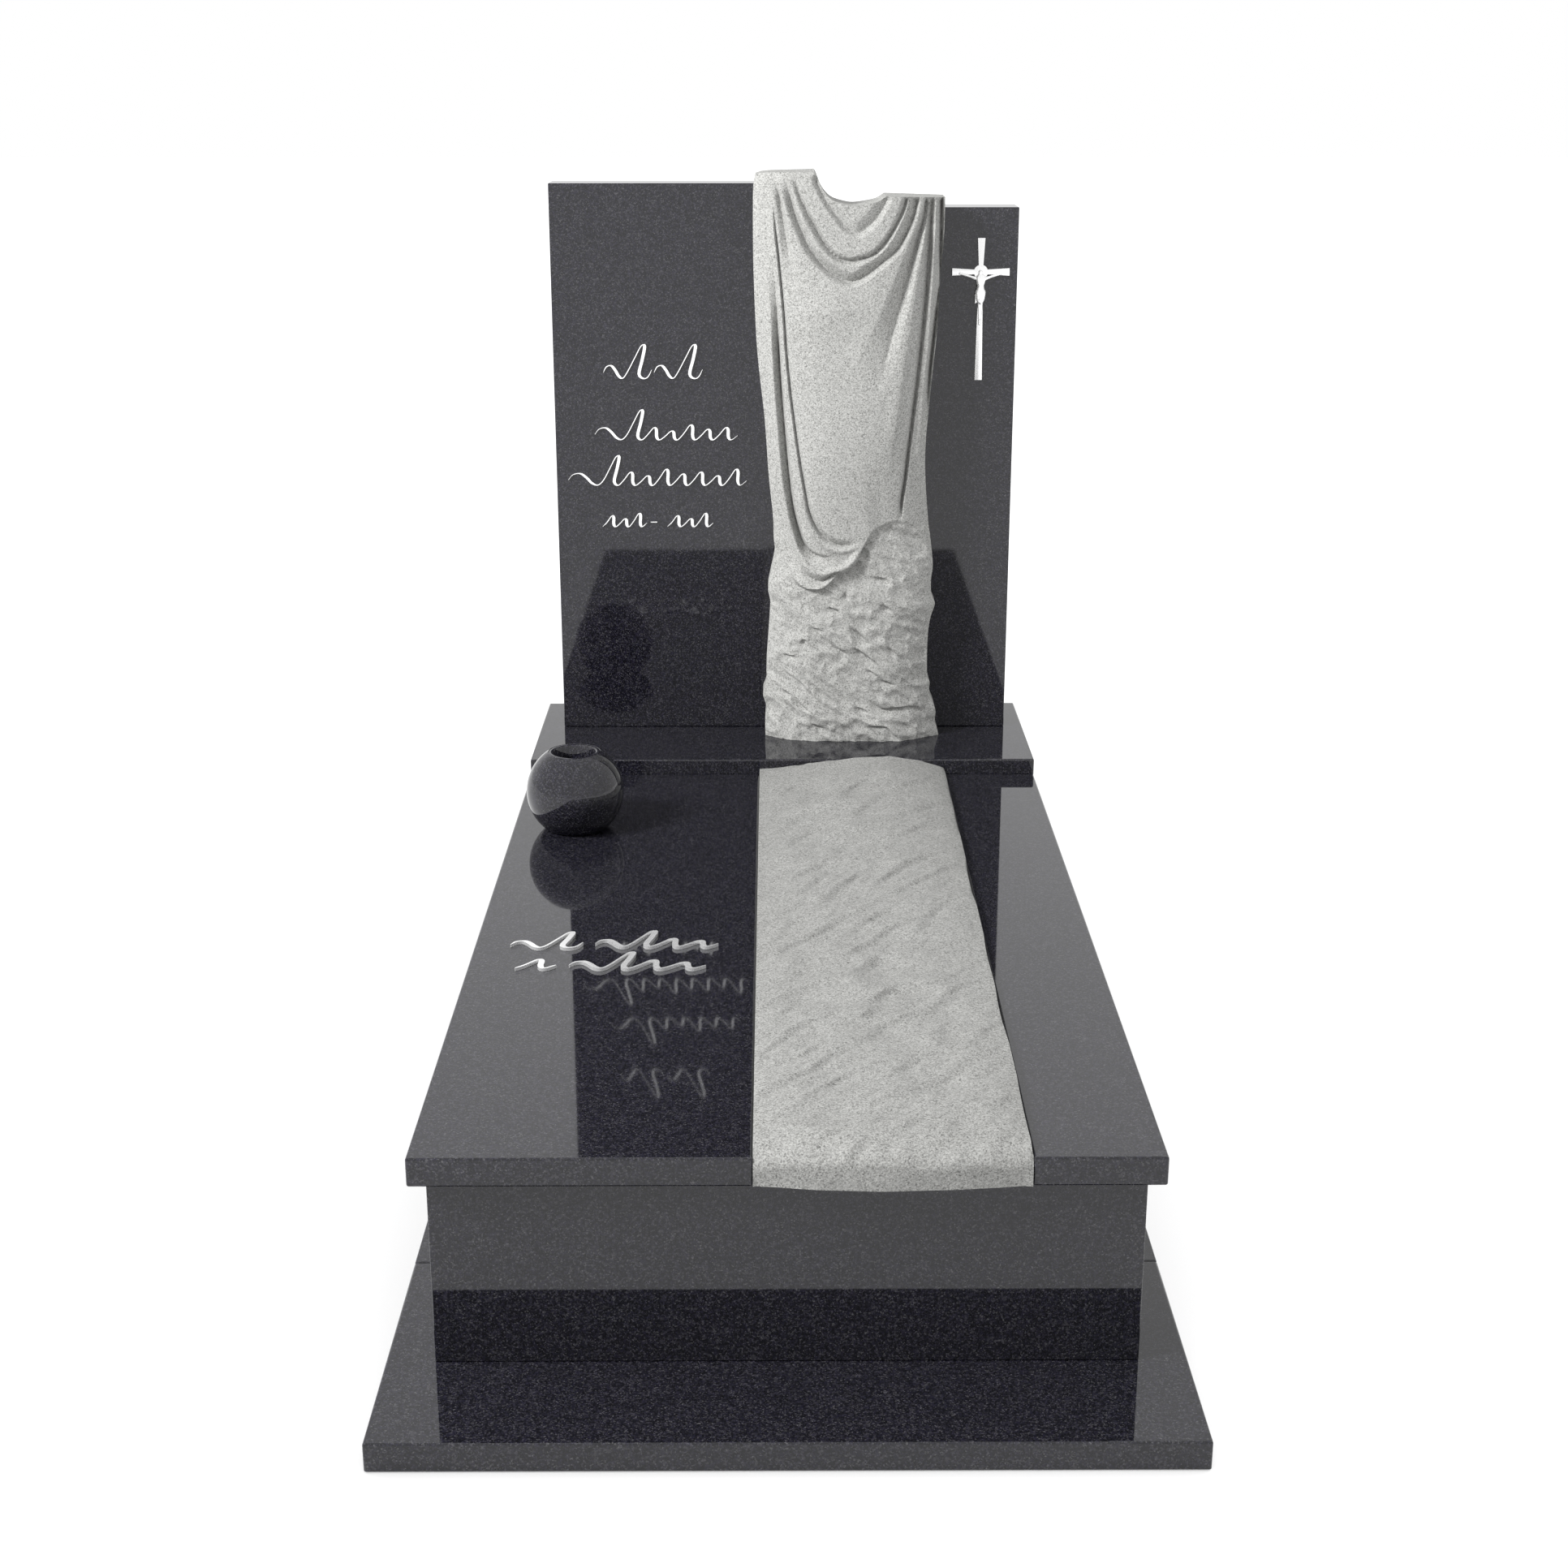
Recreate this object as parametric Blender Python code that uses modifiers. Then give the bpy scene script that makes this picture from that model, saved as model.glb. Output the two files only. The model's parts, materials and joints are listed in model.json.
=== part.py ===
"""A single grave of polished dark granite with a draped column of light, rock-faced granite.

Metres, +Z up. The origin is the middle of the underside, +X is to the right and +Y runs from the
foot of the grave to the headstone.
"""
import math

import bmesh
import bpy
import numpy as np
from mathutils import Matrix, Vector, noise

# Joints
seat_gap = 0.0003
edge_chamfer = 0.004

# Ledge of slabs laid on the ground
base_width = 1.000
base_thickness = 0.039
base_front_depth = 0.418
ledge_front = 0.175
ledge_side = 0.062
ledge_back = 0.062
base_inner_ledge = 0.020

# Kerb walls that stand on the ledge
kerb_length = 1.8345
kerb_height = 0.253
kerb_wall = 0.060

# Cover in three plates
cover_overhang = 0.0205
cover_length = 1.5015
cover_thickness = 0.038
band_width = 0.337 * base_width
band_centre_x = 0.127 * base_width

# Rock-faced strip in the cover
strip_edge_rise = 0.010
strip_front_rise = 0.016
strip_crown_rise = 0.033
strip_front_bow = 0.014
strip_wave = 0.0035
strip_grain = 0.6
strip_ragged = 0.004
front_roll = 0.034
front_drop = 0.026
row_crowding = 0.80
strip_triangles = 800

# Headstone base and its two panels
headstone_base_height = 0.0655
panel_setback = 0.211
panel_thickness = 0.080
panel_margin_left = 0.044
panel_margin_right = 0.036
left_panel_height = 1.0035
right_panel_height = 0.962

# Draped column between the panels
column_height = 1.026
column_width = 0.336 * base_width
column_shift_x = -0.009 * base_width
column_edge_depth = 0.056
column_middle_depth = 0.100
column_triangles = 4710
insert_width = 0.256 * base_width
insert_height = 0.954
cloth_thickness = 0.009
rock_relief = 0.007
belly_rise = 0.012
fold_roundness = 1.25
fold_margin = 0.004
least_fold_reach = 0.0055
section_roundness = 3.2
hem_blend = 0.003
belly_level = 0.60
belly_reach = 0.20
thinned_share = 0.8
rock_cant = math.radians(39.7)
rock_swells = (8, 17)
rock_facets = (20, 48)
ledge_rise = 0.002
ledge_drop = 0.007
ledge_above = 0.022
ledge_below = 0.017
ledge_edge = 0.0045

# Crucifix on the right panel
cross_height = 0.252
cross_span = 0.103
cross_thickness = 0.004
cross_arm_share = 0.236
cross_below_panel_top = 0.053
cross_from_right_edge = 0.066
cross_waist = 0.0076
cross_flare = 0.0134
halo_radius = 0.0128
figure_relief = 0.007
figure_thinning = 0.042

# Ball vase on the left plate
vase_radius = 0.082
vase_foot_radius = 0.050
vase_mouth_radius = 0.044
vase_bore_radius = 0.036
vase_bore_floor = 0.024
vase_rings = 9
vase_sides = 28
vase_from_left_edge = 0.107
vase_from_cover_back = 0.291

# Strokes in the place of an inscription
panel_stroke_thickness = 0.003
cover_stroke_thickness = 0.005
panel_pen = (0.0020, 0.0048)
cover_pen = (0.0030, 0.0062)
pen_slant = 0.42

# Left and right outline of the column, as shares of its width against shares of its height
COLUMN_LEFT = [(0.000, 0.056), (0.020, 0.054), (0.056, 0.059), (0.078, 0.043), (0.099, 0.062),
               (0.136, 0.063), (0.211, 0.079), (0.251, 0.084), (0.274, 0.072), (0.300, 0.086),
               (0.340, 0.110), (0.368, 0.103), (0.406, 0.100), (0.480, 0.077), (0.580, 0.056),
               (0.675, 0.024), (0.745, 0.009), (0.855, -0.002), (0.960, -0.002), (0.985, 0.003),
               (1.000, 0.014)]
COLUMN_RIGHT = [(0.000, 1.025), (0.012, 1.017), (0.028, 1.004), (0.048, 1.005), (0.081, 0.970),
                (0.101, 0.970), (0.114, 0.955), (0.183, 0.954), (0.222, 0.968), (0.247, 0.990),
                (0.264, 0.970), (0.290, 0.966), (0.320, 0.974), (0.370, 0.957), (0.405, 0.942),
                (0.485, 0.922), (0.540, 0.921), (0.600, 0.934), (0.673, 0.953), (0.735, 0.970),
                (0.818, 0.982), (0.907, 0.997), (1.000, 0.997)]

# Top edge: two flat shoulders with the sagging neck of the cloth between them
COLUMN_TOP = [(0.000, 0.996), (0.060, 1.000), (0.280, 1.002), (0.307, 1.002), (0.332, 0.990),
              (0.362, 0.972), (0.406, 0.957), (0.465, 0.950), (0.523, 0.947), (0.596, 0.950),
              (0.648, 0.954), (0.684, 0.961), (0.706, 0.962), (1.000, 0.959)]

# Lower hem of the cloth, as shares of the height against shares of the width
CLOTH_HEM = [(-0.05, 0.400), (0.103, 0.391), (0.123, 0.361), (0.157, 0.339), (0.196, 0.322),
             (0.211, 0.302), (0.242, 0.290), (0.288, 0.283), (0.335, 0.282), (0.388, 0.289),
             (0.434, 0.304), (0.496, 0.317), (0.541, 0.330), (0.572, 0.350), (0.632, 0.385),
             (0.694, 0.398), (0.771, 0.404), (0.866, 0.395), (1.05, 0.380)]

# Each fold: its line in shares of width and height, walked so that the belly of the cloth is on its left,
# the reach of its slopes to the inner and outer side at both ends, its depth (a roll has a negative one),
# and the share of its length over which it grows and dies away.
FOLDS = [
    # Pleat beside the left edge, then the broad groove that opens downwards and turns under the belly
    dict(line=[(0.054, 0.989), (0.065, 0.940), (0.072, 0.888), (0.082, 0.840)],
         inner=(0.006, 0.006), outer=(0.006, 0.006), depth=0.002, grow=0.2, die=0.3),
    dict(line=[(0.094, 0.879), (0.109, 0.832), (0.121, 0.774), (0.129, 0.726), (0.145, 0.638),
               (0.166, 0.555), (0.187, 0.482), (0.207, 0.432), (0.229, 0.400), (0.265, 0.365),
               (0.310, 0.348), (0.380, 0.342), (0.450, 0.347)],
         inner=(0.003, 0.006), outer=(0.015, 0.014), depth=0.016, grow=0.4, die=0.12),
    # Thin deep line beside it, which runs under the belly as its lower border
    dict(line=[(0.104, 0.966), (0.109, 0.933), (0.115, 0.905), (0.131, 0.858), (0.146, 0.811),
               (0.159, 0.763), (0.172, 0.702), (0.191, 0.639), (0.210, 0.590), (0.231, 0.540),
               (0.250, 0.500), (0.270, 0.462), (0.287, 0.431), (0.310, 0.409), (0.336, 0.394),
               (0.364, 0.382), (0.402, 0.372), (0.448, 0.365), (0.494, 0.364), (0.540, 0.366),
               (0.575, 0.370)],
         inner=(0.004, 0.012), outer=(0.003, 0.004), depth=0.010, grow=0.12, die=0.05),
    # Roll of cloth between the two and the rolled hem below
    dict(line=[(0.214, 0.492), (0.250, 0.437), (0.287, 0.403), (0.326, 0.383), (0.364, 0.368),
               (0.418, 0.357), (0.479, 0.355), (0.533, 0.360), (0.571, 0.365)],
         inner=(0.008, 0.008), outer=(0.008, 0.008), depth=-0.004, grow=0.3, die=0.1),
    dict(line=[(0.160, 0.480), (0.188, 0.409), (0.211, 0.379), (0.234, 0.354), (0.265, 0.334),
               (0.303, 0.319), (0.357, 0.313), (0.419, 0.317), (0.480, 0.324), (0.526, 0.335),
               (0.556, 0.351), (0.571, 0.363)],
         inner=(0.010, 0.010), outer=(0.011, 0.009), depth=-0.006, grow=0.3, die=0.08),
    dict(line=[(0.245, 0.330), (0.268, 0.315), (0.303, 0.305), (0.350, 0.299), (0.388, 0.303),
               (0.426, 0.312), (0.480, 0.317)],
         inner=(0.005, 0.005), outer=(0.009, 0.007), depth=0.008, grow=0.25, die=0.15),
    dict(line=[(0.196, 0.330), (0.211, 0.307), (0.242, 0.295), (0.281, 0.288), (0.327, 0.286),
               (0.373, 0.289), (0.396, 0.294)],
         inner=(0.006, 0.006), outer=(0.006, 0.006), depth=-0.004, grow=0.2, die=0.2),
    # Grooves of the swags, from the left shoulder round to the right one
    dict(line=[(0.106, 0.989), (0.132, 0.966), (0.150, 0.934), (0.168, 0.899), (0.191, 0.859),
               (0.220, 0.828), (0.261, 0.805)],
         inner=(0.004, 0.010), outer=(0.007, 0.028), depth=0.012, grow=0.05, die=0.5),
    dict(line=[(0.159, 0.997), (0.187, 0.965), (0.214, 0.934), (0.253, 0.902), (0.301, 0.871),
               (0.379, 0.843), (0.468, 0.824), (0.527, 0.822), (0.593, 0.833), (0.674, 0.853),
               (0.748, 0.873), (0.799, 0.901), (0.835, 0.929), (0.856, 0.961)],
         inner=(0.004, 0.024), outer=(0.016, 0.004), depth=0.015, grow=0.03, die=0.02),
    dict(line=[(0.205, 1.000), (0.238, 0.965), (0.282, 0.935), (0.326, 0.909), (0.378, 0.881),
               (0.437, 0.862), (0.496, 0.856), (0.555, 0.859), (0.614, 0.865), (0.673, 0.881),
               (0.731, 0.909), (0.774, 0.937), (0.796, 0.961)],
         inner=(0.004, 0.009), outer=(0.014, 0.004), depth=0.013, grow=0.03, die=0.02),
    dict(line=[(0.310, 0.998), (0.345, 0.973), (0.385, 0.950), (0.436, 0.928), (0.480, 0.911),
               (0.532, 0.901), (0.576, 0.907), (0.627, 0.922), (0.670, 0.942), (0.702, 0.965)],
         inner=(0.022, 0.020), outer=(0.008, 0.008), depth=0.010, grow=0.05, die=0.05),
    # Wedge of shade on the right, broad at its foot and sharp on its outer side
    dict(line=[(0.605, 0.590), (0.674, 0.663), (0.742, 0.744), (0.793, 0.807), (0.834, 0.859),
               (0.884, 0.924), (0.895, 0.962)],
         inner=(0.062, 0.002), outer=(0.022, 0.006), depth=0.017, grow=0.6, die=0.03),
    dict(line=[(0.700, 0.470), (0.760, 0.600), (0.810, 0.720), (0.860, 0.830), (0.905, 0.930)],
         inner=(0.030, 0.012), outer=(0.012, 0.006), depth=-0.004, grow=0.3, die=0.1),
    # Groove that runs from the right shoulder to the hem, and the slope along the right edge
    dict(line=[(0.788, 0.404), (0.793, 0.440), (0.808, 0.474), (0.822, 0.520), (0.838, 0.565),
               (0.852, 0.605), (0.868, 0.652), (0.886, 0.713), (0.903, 0.774), (0.914, 0.821),
               (0.922, 0.869), (0.927, 0.916), (0.930, 0.962)],
         inner=(0.007, 0.015), outer=(0.004, 0.006), depth=0.015, grow=0.06, die=0.02),
    dict(line=[(0.870, 0.480), (0.882, 0.522), (0.898, 0.612), (0.919, 0.694), (0.930, 0.775),
               (0.941, 0.853), (0.950, 0.951)],
         inner=(0.009, 0.005), outer=(0.006, 0.004), depth=-0.006, grow=0.2, die=0.05),
    dict(line=[(0.918, 0.560), (0.936, 0.651), (0.955, 0.720), (0.972, 0.780), (0.982, 0.830),
               (0.984, 0.904), (0.982, 0.960)],
         inner=(0.011, 0.008), outer=(0.003, 0.003), depth=0.010, grow=0.3, die=0.02),
]

# Soft bulges of the belly: middle, reach across and up, and rise
BULGES = [((0.40, 0.775), (0.060, 0.038), 0.007), ((0.45, 0.50), (0.075, 0.110), 0.006)]

# Ledges of the split rock, which run down to the right: the rock stands out above and drops back below
LEDGES = [
    [(0.374, 0.252), (0.435, 0.247), (0.490, 0.237)],
    [(0.489, 0.279), (0.520, 0.261)],
    [(0.611, 0.308), (0.697, 0.302), (0.760, 0.292)],
    [(0.691, 0.257), (0.762, 0.240)],
    [(0.498, 0.221), (0.592, 0.195), (0.655, 0.171)],
    [(0.413, 0.183), (0.468, 0.172), (0.527, 0.159)],
    [(0.507, 0.180), (0.570, 0.170), (0.632, 0.155), (0.688, 0.140)],
    [(0.722, 0.179), (0.758, 0.168), (0.798, 0.156)],
    [(0.594, 0.137), (0.641, 0.130), (0.685, 0.122)],
    [(0.673, 0.118), (0.785, 0.102)],
    [(0.102, 0.138), (0.243, 0.111), (0.345, 0.076)],
    [(0.134, 0.161), (0.251, 0.155)],
    [(0.216, 0.080), (0.267, 0.064), (0.318, 0.054)],
    [(0.291, 0.035), (0.401, 0.021)],
    [(0.580, 0.083), (0.659, 0.071), (0.707, 0.060), (0.787, 0.061), (0.883, 0.060), (0.991, 0.049)],
    [(0.533, 0.068), (0.644, 0.053)],
    [(0.582, 0.028), (0.716, 0.028), (0.765, 0.014), (0.830, -0.001)],
    [(0.250, 0.191), (0.297, 0.184)],
    [(0.289, 0.215), (0.390, 0.205)],
    [(0.126, 0.099), (0.212, 0.081)],
]


def start_clean():
    for item in list(bpy.data.objects):
        bpy.data.objects.remove(item, do_unlink=True)


def new_collection(name):
    group = bpy.data.collections.new(name)
    bpy.context.scene.collection.children.link(group)
    return group


def material(name, colour, roughness, metallic=0.0):
    made = bpy.data.materials.new(name)
    made.use_nodes = True
    shader = made.node_tree.nodes["Principled BSDF"]
    shader.inputs["Base Color"].default_value = (*colour, 1.0)
    shader.inputs["Roughness"].default_value = roughness
    shader.inputs["Metallic"].default_value = metallic
    return made


def add_object(name, mesh, finish, group):
    made = bpy.data.objects.new(name, mesh)
    made.data.materials.clear()
    made.data.materials.append(finish)
    group.objects.link(made)
    return made


def evaluated_mesh(source):
    """The mesh that an object's modifiers make, as a mesh of its own; the object is removed."""
    graph = bpy.context.evaluated_depsgraph_get()
    mesh = bpy.data.meshes.new_from_object(source.evaluated_get(graph))
    mesh.transform(source.matrix_world)
    bpy.data.objects.remove(source, do_unlink=True)
    return mesh


def slab(name, low, high, finish, group):
    """A rectangular slab between two corners with all its arrises taken off."""
    bm = bmesh.new()
    bmesh.ops.create_cube(bm, size=1.0)
    size = Vector(high) - Vector(low)
    bmesh.ops.scale(bm, vec=size, verts=bm.verts)
    mesh = bpy.data.meshes.new(name)
    bm.to_mesh(mesh)
    bm.free()
    made = add_object(name, mesh, finish, group)
    made.location = (Vector(high) + Vector(low)) / 2
    chamfer = made.modifiers.new("arris", "BEVEL")
    chamfer.width = edge_chamfer
    chamfer.segments = 1
    return made


def smooth_line(points, steps=5):
    """A smooth curve through the points, as an array of places along it."""
    points = [np.array(p, float) for p in points]
    padded = [2 * points[0] - points[1]] + points + [2 * points[-1] - points[-2]]
    line = []
    for a, b, c, d in zip(padded, padded[1:], padded[2:], padded[3:]):
        for step in range(steps):
            t = step / steps
            line.append(0.5 * (2 * b + (c - a) * t + (2 * a - 5 * b + 4 * c - d) * t ** 2
                               + (3 * b - a - 3 * c + d) * t ** 3))
    line.append(points[-1])
    return np.array(line)


def read_outline(outline, at):
    """The value of an outline of (share, value) points at the shares given, along a smooth curve."""
    line = smooth_line(outline)
    return np.interp(at, line[:, 0], line[:, 1])


def ease(low, high, value):
    t = np.clip((value - low) / (high - low), 0.0, 1.0)
    return t * t * (3 - 2 * t)


def along_line(points, x, z):
    """For each place: its distance from a smooth line, whether it is left of it, and its share."""
    line = smooth_line(points) * (column_width, column_height)
    starts, ends = line[:-1], line[1:]
    along = ends - starts
    length = np.hypot(along[:, 0], along[:, 1])
    reached = np.concatenate(([0.0], np.cumsum(length)))
    px = x[:, None] - starts[None, :, 0]
    pz = z[:, None] - starts[None, :, 1]
    t = np.clip((px * along[:, 0] + pz * along[:, 1]) / length ** 2, 0.0, 1.0)
    dx = px - t * along[:, 0]
    dz = pz - t * along[:, 1]
    away = np.hypot(dx, dz)
    near = np.argmin(away, axis=1)
    rows = np.arange(len(x))
    inside = along[near, 0] * dz[rows, near] - along[near, 1] * dx[rows, near] > 0
    share = (reached[near] + t[rows, near] * length[near]) / reached[-1]
    return away[rows, near], inside, share


def close_by(points, reach, x, z):
    """Which places lie within reach of the line's bounds."""
    line = np.array(points) * (column_width, column_height)
    low, high = line.min(axis=0) - reach, line.max(axis=0) + reach
    return (x > low[0]) & (x < high[0]) & (z > low[1]) & (z < high[1])


def fold_depth(fold, x, z):
    """How deep one fold lies at each place; only the places near its line are worked out."""
    deep = np.zeros(len(x))
    near = close_by(fold["line"], max(fold["inner"] + fold["outer"]) + fold_margin, x, z)
    deep[near] = fold_depth_near(fold, x[near], z[near])
    return deep


def fold_depth_near(fold, x, z):
    """One fold's groove or roll: full at its line, gone at its reach, growing in and dying out."""
    away, inside, share = along_line(fold["line"], x, z)
    inner = fold["inner"][0] + (fold["inner"][1] - fold["inner"][0]) * share
    outer = fold["outer"][0] + (fold["outer"][1] - fold["outer"][0]) * share
    reach = np.maximum(np.where(inside, inner, outer), least_fold_reach)
    grown = ease(0.0, fold["grow"], share) * ease(0.0, fold["die"], 1.0 - share)
    near = np.clip(1 - away / reach, 0, 1)
    shape = ease(0, 1, near) if fold["depth"] < 0 else near ** fold_roundness
    return fold["depth"] * grown * shape


def ledge_step(line, x, z):
    """A broken step in the rock: a little proud above its line and let in below it."""
    step = np.zeros(len(x))
    near = close_by(line, ledge_above, x, z)
    away, above, share = along_line(line, x[near], z[near])
    grown = ease(0.0, 0.45, share) * ease(0.0, 0.45, 1.0 - share)
    rise = ledge_rise * np.clip(1 - away / ledge_above, 0, 1) ** fold_roundness
    drop = ledge_drop * np.clip(1 - away / ledge_below, 0, 1) ** fold_roundness
    upper = ease(-ledge_edge, ledge_edge, np.where(above, away, -away))
    step[near] = grown * (upper * rise - (1 - upper) * drop)
    return step


def rock_height(x, z, grain=1.0):
    """Split rock: broad swells and small canted facets, drawn out along one slanting grain."""
    heights = np.empty(len(x))
    for i, (px, pz) in enumerate(zip(x, z)):
        along = (px * math.cos(rock_cant) - pz * math.sin(rock_cant)) * grain
        over = (px * math.sin(rock_cant) + pz * math.cos(rock_cant)) * grain
        broad = noise.noise(Vector((along * rock_swells[0], over * rock_swells[1], 3.1)))
        facet = noise.noise(Vector((along * rock_facets[0], over * rock_facets[1], 8.7)))
        heights[i] = 1.1 * broad + 0.8 * (0.35 - abs(facet) * 1.6)
    return heights


def column_surface(across, up):
    """Front of the column: arrays of x, depth, z for shares across and up, from the panels' front."""
    top = read_outline(COLUMN_TOP, across)
    rise = up * top
    left = read_outline(COLUMN_LEFT, rise) * column_width
    right = read_outline(COLUMN_RIGHT, rise) * column_width
    x = left + across * (right - left)
    z = rise * column_height
    round_off = 1 - np.abs(2 * across - 1) ** section_roundness
    depth = column_edge_depth + (column_middle_depth - column_edge_depth) * round_off
    hem = read_outline(CLOTH_HEM, x / column_width) * column_height
    cloth = ease(-hem_blend, hem_blend, z - hem)
    loose = ease(0.08, 0.22, across) * ease(0.30, 0.42, 1 - across)
    belly = np.exp(-((z / column_height - belly_level) / belly_reach) ** 2)
    belly = belly * np.clip(round_off, 0, 1) ** 2
    thin = (1 - loose) * (1 - ease(0.38, 0.55, rise))
    depth += cloth * (cloth_thickness * (1 - thinned_share * thin) + belly_rise * belly)
    for (middle, level), (wide, high), lift in BULGES:
        over = ((x - middle * column_width) / wide) ** 2 + ((z - level * column_height) / high) ** 2
        depth += lift * np.exp(-over)
    for fold in FOLDS:
        depth -= fold_depth(fold, x, z)
    rock = (1 - cloth) * ease(0.0, 0.03, across) * ease(0.0, 0.03, 1 - across)
    split = rock_relief * rock_height(x, z)
    for line in LEDGES:
        split += ledge_step(line, x, z)
    depth += rock * split
    return x, depth, z


def closed_from_grid(name, columns, rows, triangles, place, close):
    """A grid shaped by place(across, up), thinned to about so many triangles and closed by close(bm)."""
    bm = bmesh.new()
    bmesh.ops.create_grid(bm, x_segments=columns, y_segments=rows, size=0.5)
    bm.verts.ensure_lookup_table()
    flat = np.array([v.co[:] for v in bm.verts])
    for vert, place_of in zip(bm.verts, place(flat[:, 0] + 0.5, flat[:, 1] + 0.5)):
        vert.co = place_of
    mesh = bpy.data.meshes.new(name)
    bm.to_mesh(mesh)
    bm.free()
    rough = bpy.data.objects.new(name, mesh)
    bpy.context.scene.collection.objects.link(rough)
    thin = rough.modifiers.new("thin", "DECIMATE")
    thin.ratio = triangles / (2 * columns * rows)
    bpy.context.view_layer.update()
    mesh = evaluated_mesh(rough)
    bm = bmesh.new()
    bm.from_mesh(mesh)
    close(bm)
    bmesh.ops.recalc_face_normals(bm, faces=bm.faces)
    bm.to_mesh(mesh)
    bm.free()
    mesh.name = name
    return mesh


def rim_moved(bm, move):
    """Extrude the open rim of a surface and move the new vertices; returns the new rim's edges."""
    rim = [e for e in bm.edges if e.is_boundary]
    made = bmesh.ops.extrude_edge_only(bm, edges=rim)
    for vert in made["geom"]:
        if isinstance(vert, bmesh.types.BMVert):
            vert.co = move(vert.co)
    return [e for e in made["geom"] if isinstance(e, bmesh.types.BMEdge)]


def boxed(name, low, high):
    """A plain box mesh between two corners."""
    bm = bmesh.new()
    bmesh.ops.create_cube(bm, size=1.0)
    bmesh.ops.scale(bm, vec=Vector(high) - Vector(low), verts=bm.verts)
    bmesh.ops.translate(bm, vec=(Vector(high) + Vector(low)) / 2, verts=bm.verts)
    mesh = bpy.data.meshes.new(name)
    bm.to_mesh(mesh)
    bm.free()
    return mesh


def cutter(name, mesh, group):
    made = bpy.data.objects.new(name, mesh)
    made.hide_render = True
    made.display_type = "WIRE"
    group.objects.link(made)
    return made


def boolean(target, operation, other):
    change = target.modifiers.new(operation.lower(), "BOOLEAN")
    change.operation = operation
    change.solver = "EXACT"
    change.object = other


class Layout:
    """Where each course of stone begins and ends."""

    base_front = -(ledge_front + kerb_length + ledge_back) / 2
    base_back = -base_front
    kerb_front = base_front + ledge_front
    kerb_back = kerb_front + kerb_length
    kerb_right = base_width / 2 - ledge_side
    kerb_foot = base_thickness + seat_gap
    kerb_top = kerb_foot + kerb_height
    cover_front = kerb_front - cover_overhang
    cover_back = cover_front + cover_length
    cover_right = kerb_right + cover_overhang
    cover_foot = kerb_top + seat_gap
    cover_top = cover_foot + cover_thickness
    band_left = band_centre_x - band_width / 2
    band_right = band_centre_x + band_width / 2
    stone_front = cover_back + seat_gap
    stone_back = kerb_back + cover_overhang
    stone_top = cover_foot + headstone_base_height
    panel_front = stone_front + panel_setback
    panel_back = panel_front + panel_thickness
    panel_foot = stone_top + seat_gap
    panel_left = -cover_right + panel_margin_left
    panel_right = cover_right - panel_margin_right
    insert_left = band_centre_x - insert_width / 2
    insert_right = band_centre_x + insert_width / 2


def ledge(finish, group):
    """Four slabs laid flat in a frame round the open ground of the grave."""
    at = Layout
    reach = ledge_side + kerb_wall + base_inner_ledge
    half = base_width / 2
    strip_front = at.base_front + base_front_depth + seat_gap
    back_front = at.base_back - ledge_back - kerb_wall - base_inner_ledge
    slab("ledge_front_slab", (-half, at.base_front, 0), (half, strip_front - seat_gap, base_thickness),
         finish, group)
    slab("ledge_left_strip", (-half, strip_front, 0), (-half + reach, at.base_back, base_thickness),
         finish, group)
    slab("ledge_right_strip", (half - reach, strip_front, 0), (half, at.base_back, base_thickness),
         finish, group)
    inner = half - reach - seat_gap
    slab("ledge_back_strip", (-inner, back_front, 0), (inner, at.base_back, base_thickness), finish, group)


def kerb(finish, group):
    """Walls of the grave chamber, with a cross wall under the joint of cover and headstone base."""
    at = Layout
    right = at.kerb_right
    inside_front = at.kerb_front + kerb_wall
    inside_back = at.kerb_back - kerb_wall
    inner = right - kerb_wall - seat_gap
    slab("kerb_front_wall", (-right, at.kerb_front, at.kerb_foot), (right, inside_front, at.kerb_top),
         finish, group)
    slab("kerb_back_wall", (-right, inside_back, at.kerb_foot), (right, at.kerb_back, at.kerb_top),
         finish, group)
    for name, low_x, high_x in (("kerb_left_wall", -right, -right + kerb_wall),
                                ("kerb_right_wall", right - kerb_wall, right)):
        slab(name, (low_x, inside_front + seat_gap, at.kerb_foot),
             (high_x, inside_back - seat_gap, at.kerb_top), finish, group)
    slab("kerb_cross_wall", (-inner, at.cover_back - kerb_wall / 2, at.kerb_foot),
         (inner, at.cover_back + kerb_wall / 2, at.kerb_top), finish, group)


def cover_plates(finish, group):
    at = Layout
    slab("cover_left_plate", (-at.cover_right, at.cover_front, at.cover_foot),
         (at.band_left - seat_gap, at.cover_back, at.cover_top), finish, group)
    slab("cover_right_plate", (at.band_right + seat_gap, at.cover_front, at.cover_foot),
         (at.cover_right, at.cover_back, at.cover_top), finish, group)


def headstone(finish, group):
    at = Layout
    slab("headstone_base", (-at.cover_right, at.stone_front, at.cover_foot),
         (at.cover_right, at.stone_back, at.stone_top), finish, group)
    slab("headstone_left_panel", (at.panel_left, at.panel_front, at.panel_foot),
         (at.insert_left - seat_gap, at.panel_back, at.panel_foot + left_panel_height), finish, group)
    slab("headstone_right_panel", (at.insert_right + seat_gap, at.panel_front, at.panel_foot),
         (at.panel_right, at.panel_back, at.panel_foot + right_panel_height), finish, group)


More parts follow.
